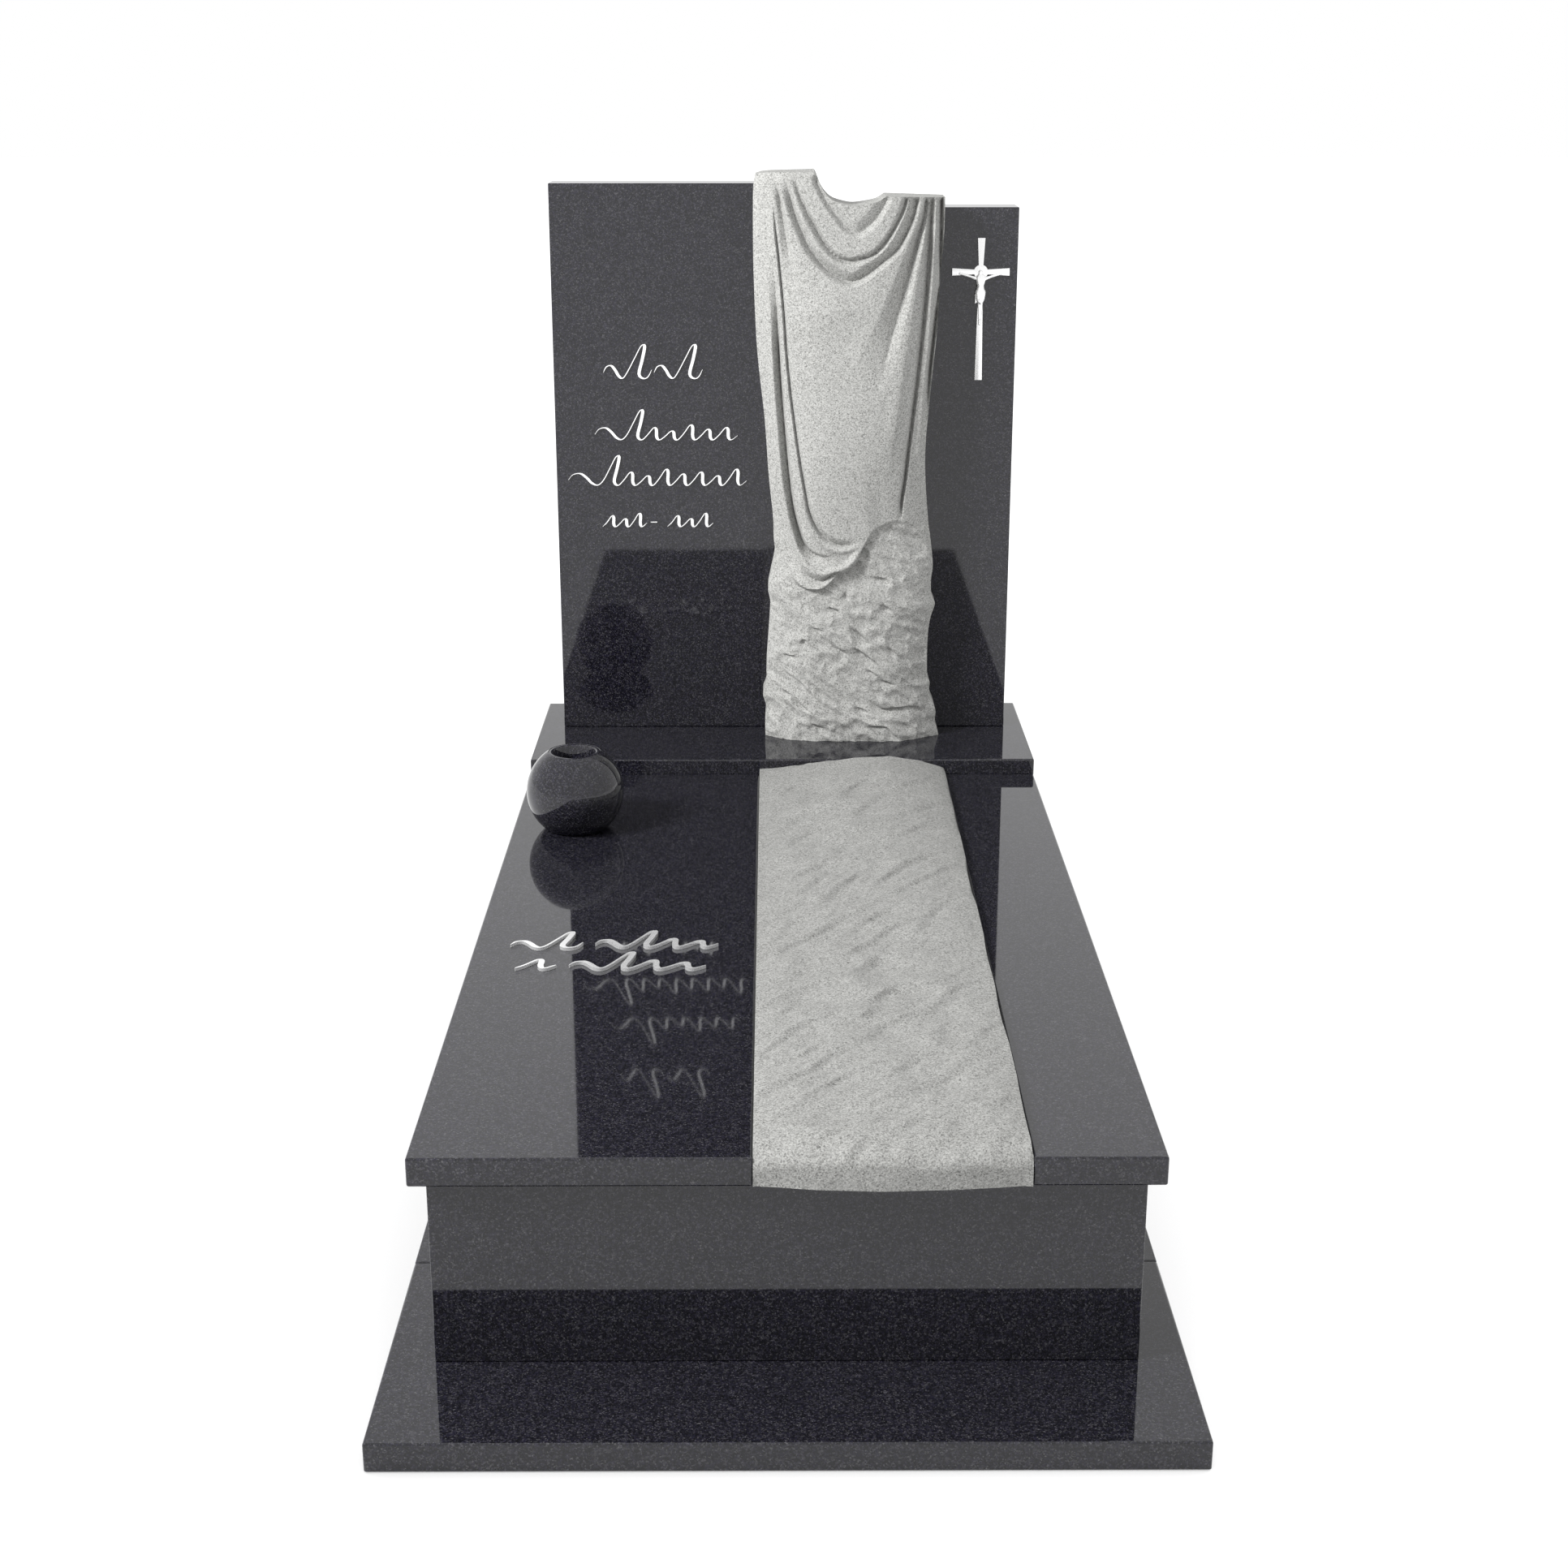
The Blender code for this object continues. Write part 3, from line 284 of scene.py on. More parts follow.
# Each fold: its line in shares of width and height, walked so that the belly of the cloth is on its left,
# the reach of its slopes to the inner and outer side at both ends, its depth (a roll has a negative one),
# and the share of its length over which it grows and dies away.
FOLDS = [
    # Pleat beside the left edge, then the broad groove that opens downwards and turns under the belly
    dict(line=[(0.054, 0.989), (0.065, 0.940), (0.072, 0.888), (0.082, 0.840)],
         inner=(0.006, 0.006), outer=(0.006, 0.006), depth=0.002, grow=0.2, die=0.3),
    dict(line=[(0.094, 0.879), (0.109, 0.832), (0.121, 0.774), (0.129, 0.726), (0.145, 0.638),
               (0.166, 0.555), (0.187, 0.482), (0.207, 0.432), (0.229, 0.400), (0.265, 0.365),
               (0.310, 0.348), (0.380, 0.342), (0.450, 0.347)],
         inner=(0.003, 0.006), outer=(0.012, 0.015), depth=0.026, grow=0.36, die=0.12),
    # Thin deep line beside it, which runs under the belly as its lower border
    dict(line=[(0.104, 0.966), (0.109, 0.933), (0.115, 0.905), (0.131, 0.858), (0.146, 0.811),
               (0.159, 0.763), (0.172, 0.702), (0.191, 0.639), (0.210, 0.590), (0.231, 0.540),
               (0.250, 0.500), (0.270, 0.462), (0.287, 0.431), (0.310, 0.409), (0.336, 0.394),
               (0.364, 0.382), (0.402, 0.372), (0.448, 0.365), (0.494, 0.364), (0.540, 0.366),
               (0.575, 0.370)],
         inner=(0.004, 0.012), outer=(0.003, 0.004), depth=0.010, grow=0.12, die=0.05),
    # Roll of cloth between the two and the rolled hem below
    dict(line=[(0.214, 0.492), (0.250, 0.437), (0.287, 0.403), (0.326, 0.383), (0.364, 0.368),
               (0.418, 0.357), (0.479, 0.355), (0.533, 0.360), (0.571, 0.365)],
         inner=(0.008, 0.008), outer=(0.008, 0.008), depth=-0.004, grow=0.3, die=0.1),
    dict(line=[(0.160, 0.480), (0.188, 0.409), (0.211, 0.379), (0.234, 0.354), (0.265, 0.334),
               (0.303, 0.319), (0.357, 0.313), (0.419, 0.317), (0.480, 0.324), (0.526, 0.335),
               (0.556, 0.351), (0.571, 0.363)],
         inner=(0.010, 0.010), outer=(0.011, 0.009), depth=-0.006, grow=0.3, die=0.08),
    dict(line=[(0.245, 0.330), (0.268, 0.315), (0.303, 0.305), (0.350, 0.299), (0.388, 0.303),
               (0.426, 0.312), (0.480, 0.317)],
         inner=(0.005, 0.005), outer=(0.009, 0.007), depth=0.008, grow=0.25, die=0.15),
    dict(line=[(0.196, 0.330), (0.211, 0.307), (0.242, 0.295), (0.281, 0.288), (0.327, 0.286),
               (0.373, 0.289), (0.396, 0.294)],
         inner=(0.006, 0.006), outer=(0.006, 0.006), depth=-0.004, grow=0.2, die=0.2),
    # Grooves of the swags, from the left shoulder round to the right one
    dict(line=[(0.106, 0.989), (0.132, 0.966), (0.150, 0.934), (0.168, 0.899), (0.191, 0.859),
               (0.220, 0.828), (0.261, 0.805)],
         inner=(0.004, 0.010), outer=(0.007, 0.028), depth=0.012, grow=0.2, die=0.5),
    dict(line=[(0.159, 0.997), (0.187, 0.965), (0.214, 0.934), (0.253, 0.902), (0.301, 0.871),
               (0.379, 0.843), (0.468, 0.824), (0.527, 0.822), (0.593, 0.833), (0.674, 0.853),
               (0.748, 0.873), (0.799, 0.901), (0.835, 0.929), (0.856, 0.961)],
         inner=(0.008, 0.024), outer=(0.014, 0.004), depth=0.016, grow=0.12, die=0.02),
    dict(line=[(0.205, 1.000), (0.238, 0.965), (0.282, 0.935), (0.326, 0.909), (0.378, 0.881),
               (0.437, 0.862), (0.496, 0.856), (0.555, 0.859), (0.614, 0.865), (0.673, 0.881),
               (0.731, 0.909), (0.774, 0.937), (0.796, 0.961)],
         inner=(0.004, 0.009), outer=(0.014, 0.004), depth=0.013, grow=0.12, die=0.02),
    dict(line=[(0.310, 0.998), (0.345, 0.973), (0.385, 0.950), (0.436, 0.928), (0.480, 0.911),
               (0.532, 0.901), (0.576, 0.907), (0.627, 0.922), (0.670, 0.942), (0.702, 0.965)],
         inner=(0.022, 0.020), outer=(0.008, 0.008), depth=0.010, grow=0.05, die=0.05),
    # Wedge of shade on the right, broad at its foot and sharp on its outer side
    dict(line=[(0.605, 0.590), (0.674, 0.663), (0.742, 0.744), (0.793, 0.807), (0.834, 0.859),
               (0.884, 0.924), (0.895, 0.962)],
         inner=(0.062, 0.002), outer=(0.022, 0.006), depth=0.017, grow=0.6, die=0.03),
    dict(line=[(0.700, 0.470), (0.760, 0.600), (0.810, 0.720), (0.860, 0.830), (0.905, 0.930)],
         inner=(0.030, 0.012), outer=(0.012, 0.006), depth=-0.004, grow=0.3, die=0.1),
    # Groove that runs from the right shoulder to the hem, and the slope along the right edge
    dict(line=[(0.788, 0.404), (0.793, 0.440), (0.808, 0.474), (0.822, 0.520), (0.838, 0.565),
               (0.852, 0.605), (0.868, 0.652), (0.886, 0.713), (0.903, 0.774), (0.914, 0.821),
               (0.922, 0.869), (0.927, 0.916), (0.930, 0.962)],
         inner=(0.007, 0.015), outer=(0.004, 0.006), depth=0.015, grow=0.06, die=0.02),
    dict(line=[(0.870, 0.480), (0.882, 0.522), (0.898, 0.612), (0.919, 0.694), (0.930, 0.775),
               (0.941, 0.853), (0.950, 0.951)],
         inner=(0.009, 0.005), outer=(0.006, 0.004), depth=-0.006, grow=0.2, die=0.05),
    dict(line=[(0.918, 0.560), (0.936, 0.651), (0.955, 0.720), (0.972, 0.780), (0.982, 0.830),
               (0.984, 0.904), (0.982, 0.960)],
         inner=(0.012, 0.010), outer=(0.003, 0.003), depth=0.017, grow=0.3, die=0.02),
]

# Soft bulges of the belly: middle, reach across and up, and rise
BULGES = [((0.40, 0.775), (0.060, 0.038), 0.007), ((0.45, 0.50), (0.075, 0.110), 0.006)]

# Ledges of the split rock, which run down to the right: the rock stands out above and drops back below
LEDGES = [
    [(0.374, 0.252), (0.435, 0.247), (0.490, 0.237)],
    [(0.489, 0.279), (0.520, 0.261)],
    [(0.611, 0.308), (0.697, 0.302), (0.760, 0.292)],
    [(0.691, 0.257), (0.762, 0.240)],
    [(0.498, 0.221), (0.592, 0.195), (0.655, 0.171)],
    [(0.413, 0.183), (0.468, 0.172), (0.527, 0.159)],
    [(0.507, 0.180), (0.570, 0.170), (0.632, 0.155), (0.688, 0.140)],
    [(0.722, 0.179), (0.758, 0.168), (0.798, 0.156)],
    [(0.594, 0.137), (0.641, 0.130), (0.685, 0.122)],
    [(0.673, 0.118), (0.785, 0.102)],
    [(0.102, 0.138), (0.243, 0.111), (0.345, 0.076)],
    [(0.134, 0.161), (0.251, 0.155)],
    [(0.216, 0.080), (0.267, 0.064), (0.318, 0.054)],
    [(0.291, 0.035), (0.401, 0.021)],
    [(0.580, 0.083), (0.659, 0.071), (0.707, 0.060), (0.787, 0.061), (0.883, 0.060), (0.991, 0.049)],
    [(0.533, 0.068), (0.644, 0.053)],
    [(0.582, 0.028), (0.716, 0.028), (0.765, 0.014), (0.830, -0.001)],
    [(0.250, 0.191), (0.297, 0.184)],
    [(0.289, 0.215), (0.390, 0.205)],
    [(0.126, 0.099), (0.212, 0.081)],
]

# The figure's forms in shares of the cross's height: two ends across and up from where the arms meet, the
# radius at each end, and the share of the full relief. The arms are given for one side.
FIGURE_FORMS = [((-0.002, 0.000), (-0.007, -0.019), 0.016, 0.013, 1.0),
                ((0.000, -0.048), (0.000, -0.094), 0.038, 0.025, 0.9),
                ((0.000, -0.094), (0.000, -0.125), 0.025, 0.030, 0.85),
                ((0.000, -0.145), (-0.001, -0.180), 0.039, 0.035, 0.9),
                ((-0.001, -0.180), (0.000, -0.205), 0.035, 0.024, 0.85),
                ((-0.030, -0.160), (-0.033, -0.214), 0.012, 0.007, 0.8),
                ((-0.008, -0.200), (-0.006, -0.262), 0.014, 0.010, 0.9),
                ((0.008, -0.200), (0.006, -0.262), 0.014, 0.010, 0.95),
                ((-0.006, -0.262), (-0.004, -0.340), 0.010, 0.008, 0.8),
                ((0.006, -0.262), (0.002, -0.340), 0.010, 0.008, 0.85),
                ((0.000, -0.336), (-0.001, -0.364), 0.012, 0.011, 1.0)]
ARM_FORMS = [((0.028, -0.048), (0.070, -0.033), 0.013, 0.009, 0.8),
             ((0.070, -0.033), (0.150, -0.010), 0.009, 0.0075, 0.7)]

# The opening swash in shares of its width and height, the tall stroke in shares of its lean and height,
# and one low wave in shares of pitch and height
SWASH = [(0.00, 0.30), (0.14, 0.58), (0.36, 0.64), (0.54, 0.42), (0.70, 0.12), (0.88, 0.02)]
TALL_STROKE = [(0.15, 0.20), (0.72, 0.64), (1.16, 0.97), (1.42, 0.97), (1.24, 0.58), (0.98, 0.14),
               (1.30, 0.00)]
LOW_WAVE = [(0.26, 0.40), (0.52, 0.98), (0.70, 0.86), (0.80, 0.24), (1.00, 0.00)]
WAVE_LIFTS = [1.00, 0.72, 1.22, 0.86]

# Rows of strokes: length, wave height, swash, waves and tall stroke; each stroke is centred in the box of its
# CAD stroke
PANEL_STROKES = {
    "panel_stroke_1_left": (0.088, 0.016, (0.040, 0.036), 0, 0.060),
    "panel_stroke_1_right": (0.088, 0.016, (0.040, 0.036), 0, 0.060),
    "panel_stroke_2": (0.261, 0.022, (0.056, 0.034), 5, 0.054),
    "panel_stroke_3": (0.328, 0.024, (0.062, 0.034), 7, 0.054),
    "panel_stroke_4_left": (0.082, 0.020, None, 3, 0.0),
    "panel_stroke_4_middle": (0.012, 0.000, None, 0, 0.0),
    "panel_stroke_4_right": (0.085, 0.020, None, 3, 0.0),
}
COVER_STROKES = {
    "cover_stroke_1_left": (0.106, 0.020, (0.052, 0.040), 0, 0.060),
    "cover_stroke_1_right": (0.181, 0.030, (0.050, 0.040), 2, 0.060),
    "cover_stroke_2_left": (0.058, 0.032, None, 1, 0.0),
    "cover_stroke_2_right": (0.197, 0.030, (0.054, 0.040), 2, 0.060),
}


def new_object(name, data):
    """A new object in the scene, at the origin."""
    made = bpy.data.objects.new(name, data)
    bpy.context.scene.collection.objects.link(made)
    return made


def finished_mesh(helper):
    """The mesh of a helper object with its modifiers applied, as a bmesh; the helper is removed."""
    bpy.context.view_layer.update()
    graph = bpy.context.evaluated_depsgraph_get()
    mesh = bpy.data.meshes.new_from_object(helper.evaluated_get(graph))
    bpy.data.objects.remove(helper, do_unlink=True)
    bm = bmesh.new()
    bm.from_mesh(mesh)
    return bm


def rough(x, y, layer):
    """Smooth noise from -1 to 1 at a place on one of its layers."""
    return noise.noise(Vector((x, y, layer)))


def add_piece(name, bm, material, slot, *nodes):
    """Turns a bmesh into a piece that rides on the grave and stands for the CAD nodes named."""
    mesh = bpy.data.meshes.new(name)
    bm.to_mesh(mesh)
    bm.free()
    mesh.materials.append(material)
    piece = new_object(name, mesh)
    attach(piece, "root")
    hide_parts(*nodes)


def smooth_line(points, steps=5):
    """A smooth curve through the points, as an array of places along it."""
    points = [np.array(p, float) for p in points]
    padded = [2 * points[0] - points[1]] + points + [2 * points[-1] - points[-2]]
    line = []
    for a, b, c, d in zip(padded, padded[1:], padded[2:], padded[3:]):
        for step in range(steps):
            t = step / steps
            line.append(0.5 * (2 * b + (c - a) * t + (2 * a - 5 * b + 4 * c - d) * t ** 2
                               + (3 * b - a - 3 * c + d) * t ** 3))
    line.append(points[-1])
    return np.array(line)


def read_outline(outline, at):
    """The value of an outline of (share, value) points at the shares given, along a smooth curve."""
    line = smooth_line(outline)
    return np.interp(at, line[:, 0], line[:, 1])


def ease(low, high, value):
    """A smooth step from 0 at low to 1 at high."""
    t = np.clip((value - low) / (high - low), 0.0, 1.0)
    return t * t * (3 - 2 * t)


def along_line(points, x, z):
    """For each place: its distance from a smooth line, whether it is left of it, and its share."""
    line = smooth_line(points) * (column_width, column_height)
    starts, ends = line[:-1], line[1:]
    along = ends - starts
    length = np.hypot(along[:, 0], along[:, 1])
    reached = np.concatenate(([0.0], np.cumsum(length)))
    px = x[:, None] - starts[None, :, 0]
    pz = z[:, None] - starts[None, :, 1]
    t = np.clip((px * along[:, 0] + pz * along[:, 1]) / length ** 2, 0.0, 1.0)
    dx = px - t * along[:, 0]
    dz = pz - t * along[:, 1]
    away = np.hypot(dx, dz)
    near = np.argmin(away, axis=1)
    rows = np.arange(len(x))
    inside = along[near, 0] * dz[rows, near] - along[near, 1] * dx[rows, near] > 0
    share = (reached[near] + t[rows, near] * length[near]) / reached[-1]
    return away[rows, near], inside, share


def close_by(points, reach, x, z):
    """Which places lie within reach of the line's bounds."""
    line = np.array(points) * (column_width, column_height)
    low, high = line.min(axis=0) - reach, line.max(axis=0) + reach
    return (x > low[0]) & (x < high[0]) & (z > low[1]) & (z < high[1])


def fold_depth(fold, x, z):
    """How deep one fold lies at each place; only the places near its line are worked out."""
    deep = np.zeros(len(x))
    near = close_by(fold["line"], max(fold["inner"] + fold["outer"]) + fold_margin, x, z)
    deep[near] = fold_depth_near(fold, x[near], z[near])
    return deep


def fold_depth_near(fold, x, z):
    """One fold's groove or roll: full at its line, gone at its reach, growing in and dying out."""
    away, inside, share = along_line(fold["line"], x, z)
    inner = fold["inner"][0] + (fold["inner"][1] - fold["inner"][0]) * share
    outer = fold["outer"][0] + (fold["outer"][1] - fold["outer"][0]) * share
    reach = np.where(inside, inner, outer)
    grown = ease(0.0, fold["grow"], share) * ease(0.0, fold["die"], 1.0 - share)
    near = np.clip(1 - away / reach, 0, 1)
    shape = ease(0, 1, near) if fold["depth"] < 0 else near ** fold_roundness
    return fold["depth"] * grown * shape


def ledge_step(line, x, z):
    """A broken step in the rock: a little proud above its line and let in below it."""
    step = np.zeros(len(x))
    near = close_by(line, ledge_above, x, z)
    away, above, share = along_line(line, x[near], z[near])
    grown = ease(0.0, ledge_fade, share) * ease(0.0, ledge_fade, 1.0 - share)
    rise = ledge_rise * np.clip(1 - away / ledge_above, 0, 1) ** fold_roundness
    drop = ledge_drop * np.clip(1 - away / ledge_below, 0, 1) ** fold_roundness
    upper = ease(-ledge_edge, ledge_edge, np.where(above, away, -away))
    step[near] = grown * (upper * rise - (1 - upper) * drop)
    return step


def rock_height(x, z, grain=1.0):
    """Split rock: broad swells, small canted facets and chips, drawn out along one slanting grain."""
    heights = np.empty(len(x))
    for i, (px, pz) in enumerate(zip(x, z)):
        along = (px * math.cos(rock_cant) - pz * math.sin(rock_cant)) * grain
        over = (px * math.sin(rock_cant) + pz * math.cos(rock_cant)) * grain
        broad, facet, chip = (rough(along * count[0], over * count[1], layer)
                              for count, layer in zip((rock_swells, rock_facets, rock_chips), rock_layers))
        heights[i] = (rock_shares[0] * broad
                      + rock_shares[1] * (facet_ridge[0] - abs(facet) * facet_ridge[1])
                      + rock_shares[2] * (chip_ridge[0] - abs(chip) * chip_ridge[1]))
    return heights


def column_surface(across, up):
    """Front of the column: arrays of x, depth, z for shares across and up, from the panels' front."""
    top = read_outline(COLUMN_TOP, across)
    rise = up * top
    left = read_outline(COLUMN_LEFT, rise) * column_width
    right = read_outline(COLUMN_RIGHT, rise) * column_width
    x = left + across * (right - left)
    z = rise * column_height
    round_off = 1 - np.abs(2 * across - 1) ** section_roundness
    depth = column_edge_depth + (column_middle_depth - column_edge_depth) * round_off
    hem = read_outline(CLOTH_HEM, x / column_width) * column_height
    cloth = ease(-hem_blend, hem_blend, z - hem)
    loose = ease(*loose_left, across) * ease(*loose_right, 1 - across)
    belly = np.exp(-((z / column_height - belly_level) / belly_reach) ** 2)
    belly = belly * np.clip(round_off, 0, 1) ** 2
    thin = (1 - loose) * (1 - ease(*thin_below, rise))
    depth += cloth * (cloth_thickness * (1 - thinned_share * thin) + belly_rise * belly)
    for (middle, level), (wide, high), lift in BULGES:
        over = ((x - middle * column_width) / wide) ** 2 + ((z - level * column_height) / high) ** 2
        depth += lift * np.exp(-over)
    for fold in FOLDS:
        depth -= fold_depth(fold, x, z)
    rock = (1 - cloth) * ease(0.0, rock_fade, across) * ease(0.0, rock_fade, 1 - across)
    split = rock_relief * rock_height(x, z)
    for line in LEDGES:
        split += ledge_step(line, x, z)
    depth += rock * split
    return x, depth, z


def shaped_grid(columns, rows, place):
    """A grid whose vertices are moved to place(across, up)."""
    bm = bmesh.new()
    bmesh.ops.create_grid(bm, x_segments=columns, y_segments=rows, size=0.5)
    flat = np.array([v.co[:] for v in bm.verts])
    for vert, place_of in zip(bm.verts, place(flat[:, 0] + 0.5, flat[:, 1] + 0.5)):
        vert.co = place_of
    return bm


def rim_moved(bm, move):
    """Extrude the open rim of a surface and move the new vertices; returns the new rim's edges."""
    rim = [e for e in bm.edges if e.is_boundary]
    made = bmesh.ops.extrude_edge_only(bm, edges=rim)
    for vert in made["geom"]:
        if isinstance(vert, bmesh.types.BMVert):
            vert.co = move(vert.co)
    return [e for e in made["geom"] if isinstance(e, bmesh.types.BMEdge)]


def soften(bm, sharp_angle):
    """Smooth shading, with edges sharper than the angle kept crisp."""
    for face in bm.faces:
        face.smooth = True
    for edge in bm.edges:
        if len(edge.link_faces) == 2:
            edge.smooth = edge.calc_face_angle(0.0) < sharp_angle


def polished_slab(node, round_edges):
    """A slab in the place of a CAD node with its arrises rounded and polished."""
    low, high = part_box(node)
    bm = bmesh.new()
    bmesh.ops.create_cube(bm, size=1.0)
    bmesh.ops.scale(bm, vec=high - low, verts=bm.verts)
    bmesh.ops.translate(bm, vec=(low + high) / 2, verts=bm.verts)
    bmesh.ops.bevel(bm, geom=list(bm.edges), offset=round_edges, offset_type="OFFSET", affect="EDGES",
                    segments=arris_steps, profile=0.5, material=-1, clamp_overlap=True)
    for face in bm.faces:
        face.smooth = face.calc_area() < arris_face_share * round_edges * max(high - low)
    add_piece("polished_" + node, bm, dark_granite, "dark_granite", node)


def carved_column():
    """The column: its split and draped front, and its sawn back that stands between the panels."""
    face_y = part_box("headstone_left_panel")[0].y - seat_gap
    back_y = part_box("headstone_left_panel")[1].y
    foot_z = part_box("draped_column")[0].z
    centre_x = (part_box("headstone_left_panel")[1].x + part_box("headstone_right_panel")[0].x) / 2
    left_x = centre_x + column_shift_x - column_width / 2

    def place(across, up):
        """Points of the front in the model's frame."""
        x, depth, z = column_surface(across, up)
        return np.stack((left_x + x, face_y - depth, foot_z + z), axis=1)

    bm = shaped_grid(column_columns, column_rows, place)
    rim = rim_moved(bm, lambda co: Vector((co.x, face_y, co.z)))
    corners = [(-1, 0), (1, 0), (1, 1), (-1, 1)]
    foot = foot_z + insert_lift
    sawn = [bm.verts.new((centre_x + side * insert_width / 2, face_y, foot + up * insert_height))
            for side, up in corners]
    edges = [bm.edges.new((a, b)) for a, b in zip(sawn, sawn[1:] + sawn[:1])]
    bmesh.ops.triangle_fill(bm, use_beauty=True, edges=rim + edges)
    made = bmesh.ops.extrude_edge_only(bm, edges=edges)
    back = [v for v in made["geom"] if isinstance(v, bmesh.types.BMVert)]
    for vert in back:
        vert.co.y = back_y
    bmesh.ops.contextual_create(bm, geom=[e for e in made["geom"] if isinstance(e, bmesh.types.BMEdge)])
    bmesh.ops.recalc_face_normals(bm, faces=bm.faces)
    soften(bm, stone_crease)
    add_piece("carved_draped_column", bm, light_granite, "light_granite", "draped_column")


def split_ripples(x, y):
    """Long low ripples that the split left, running away to the right, steeper on the side to the right."""
    lift = np.empty(len(x))
    for i, (px, py) in enumerate(zip(x, y)):
        along = (px * math.cos(ripple_turn) + py * math.sin(ripple_turn)) / ripple_run
        over = py * math.cos(ripple_turn) - px * math.sin(ripple_turn)
        first = rough(along, over / ripple_pitch, ripple_layer)
        over = (over + ripple_lean * first) / ripple_pitch
        lift[i] = rough(along, over, ripple_layer)
    return lift


def split_strip():
    """The light strip laid in the cover: sawn sides, a split and crowned top, a bowed split front."""
    low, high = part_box("cover_rock_strip")
    cover_low, cover_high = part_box("cover_left_plate")
    left = low.x
    right = high.x
    width = right - left
    length = cover_high.y - cover_low.y

    def place(across, up):
        """Points of the split top, from the front of the cover to its back."""
        x = across * width
        up = up * (1 - row_crowding * (1 - up))
        y = up * length
        edge = 1 - np.abs(2 * across - 1) ** strip_flatness
        crown = np.sin(np.pi * np.clip(across, 0, 1) ** crown_lean) ** crown_fullness
        rise = strip_edge_rise + (strip_crown_rise - strip_edge_rise) * crown * ease(*crown_growth, up)
        rise += (strip_front_rise - strip_edge_rise) * (1 - ease(*front_fade, up)) * edge
        rise += strip_wave * edge * rock_height(x, -y, strip_grain)
        rise += ripple_rise * edge * (1 - ease(*ripple_fade, up)) * split_ripples(x, y)
        change = np.array([rough(v * front_roll_pitch, 2.0, 3.0) for v in x])
        roll = front_roll * (1 + front_roll_change * change)
        rise -= front_drop * (1 - np.sqrt(1 - np.clip(1 - y / roll, 0, 1) ** 2))
        bow = strip_front_bow * (1 - (2 * across - 1) ** 2) * (1 - ease(*bow_fade, up))
        ragged = np.array([rough(v * ragged_pitch, 5.0, 1.0) for v in up])
        ragged = (ragged - ragged_bias) * strip_ragged
        x = x + np.where(across > 0.999, np.minimum(ragged, 0.0), 0.0)
        return np.stack((left + x, cover_low.y + y - bow, cover_high.z + rise), axis=1)

    def to_slot(co):
        """A rim point brought to the straight side of its slot, at the cover's top or below."""
        x = left if co.x < left + slot_snap[0] * width else co.x
        x = right if co.x > right - slot_snap[1] * width else x
        return Vector((x, co.y, min(co.z, cover_high.z)))

    def down_front(co, rows_left):
        """The next row down to the foot, with the split front a little lumpy."""
        z = co.z + (low.z - co.z) / rows_left
        lump = 0.5 + rough(co.x * front_lump_pitch[0], z * front_lump_pitch[1], 6.0)
        at_front = co.y < cover_low.y + 0.001 and left < co.x < right
        return Vector((co.x, co.y + front_lumps * lump / front_rows * at_front, z))

    bm = shaped_grid(strip_columns, strip_rows, place)
    rim_moved(bm, to_slot)
    for rows_left in range(front_rows, 0, -1):
        rim = rim_moved(bm, lambda co, count=rows_left: down_front(co, count))
    bmesh.ops.contextual_create(bm, geom=rim)
    bmesh.ops.remove_doubles(bm, verts=bm.verts, dist=merge_reach)
    bmesh.ops.recalc_face_normals(bm, faces=bm.faces)
    soften(bm, stone_crease)
    add_piece("split_rock_strip", bm, shaded_strip_granite, "light_granite", "cover_rock_strip")


def ball_vase():
    """The vase turned from one block, with a rounded lip and a bored well."""
    low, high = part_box("vase")
    foot_drop = math.sqrt(vase_radius ** 2 - vase_foot_radius ** 2)
    lip = (vase_mouth_radius - vase_bore_radius) / 2
    mouth_rise = math.sqrt(vase_radius ** 2 - vase_mouth_radius ** 2)
    profile = [(0.0, 0.0), (vase_foot_radius - vase_foot_ease[0], 0.0), (vase_foot_radius, vase_foot_ease[1])]
    start = math.pi - math.asin(vase_foot_radius / vase_radius)
    end = math.asin(vase_mouth_radius / vase_radius)
    for step in range(1, vase_steps + 1):
        angle = start + (end - start) * step / vase_steps
        profile.append((vase_radius * math.sin(angle), foot_drop + vase_radius * math.cos(angle)))
    top = foot_drop + mouth_rise
    for angle in vase_lip_turns:
        a = math.radians(angle)
        drop = vase_lip_drop * (1 - math.sin(a))
        profile.append((vase_bore_radius + lip + lip * math.cos(a), top - lip * drop))
    profile += [(vase_bore_radius, vase_bore_floor + vase_floor_ease),
                (vase_bore_radius - vase_floor_ease, vase_bore_floor), (0.0, vase_bore_floor)]
    bm = bmesh.new()
    run = [bm.verts.new((x, 0.0, z)) for x, z in profile]
    line = [bm.edges.new(pair) for pair in zip(run, run[1:])]
    bmesh.ops.spin(bm, geom=run + line, cent=(0, 0, 0), axis=(0, 0, 1), angle=2 * math.pi, steps=vase_sides,
                   use_merge=True)
    bmesh.ops.remove_doubles(bm, verts=bm.verts, dist=merge_reach)
    bmesh.ops.recalc_face_normals(bm, faces=bm.faces)
    centre = (low + high) / 2
    bmesh.ops.translate(bm, vec=(centre.x, centre.y, low.z), verts=bm.verts)
    soften(bm, crisp_crease)
    add_piece("polished_ball_vase", bm, dark_granite, "dark_granite", "vase")


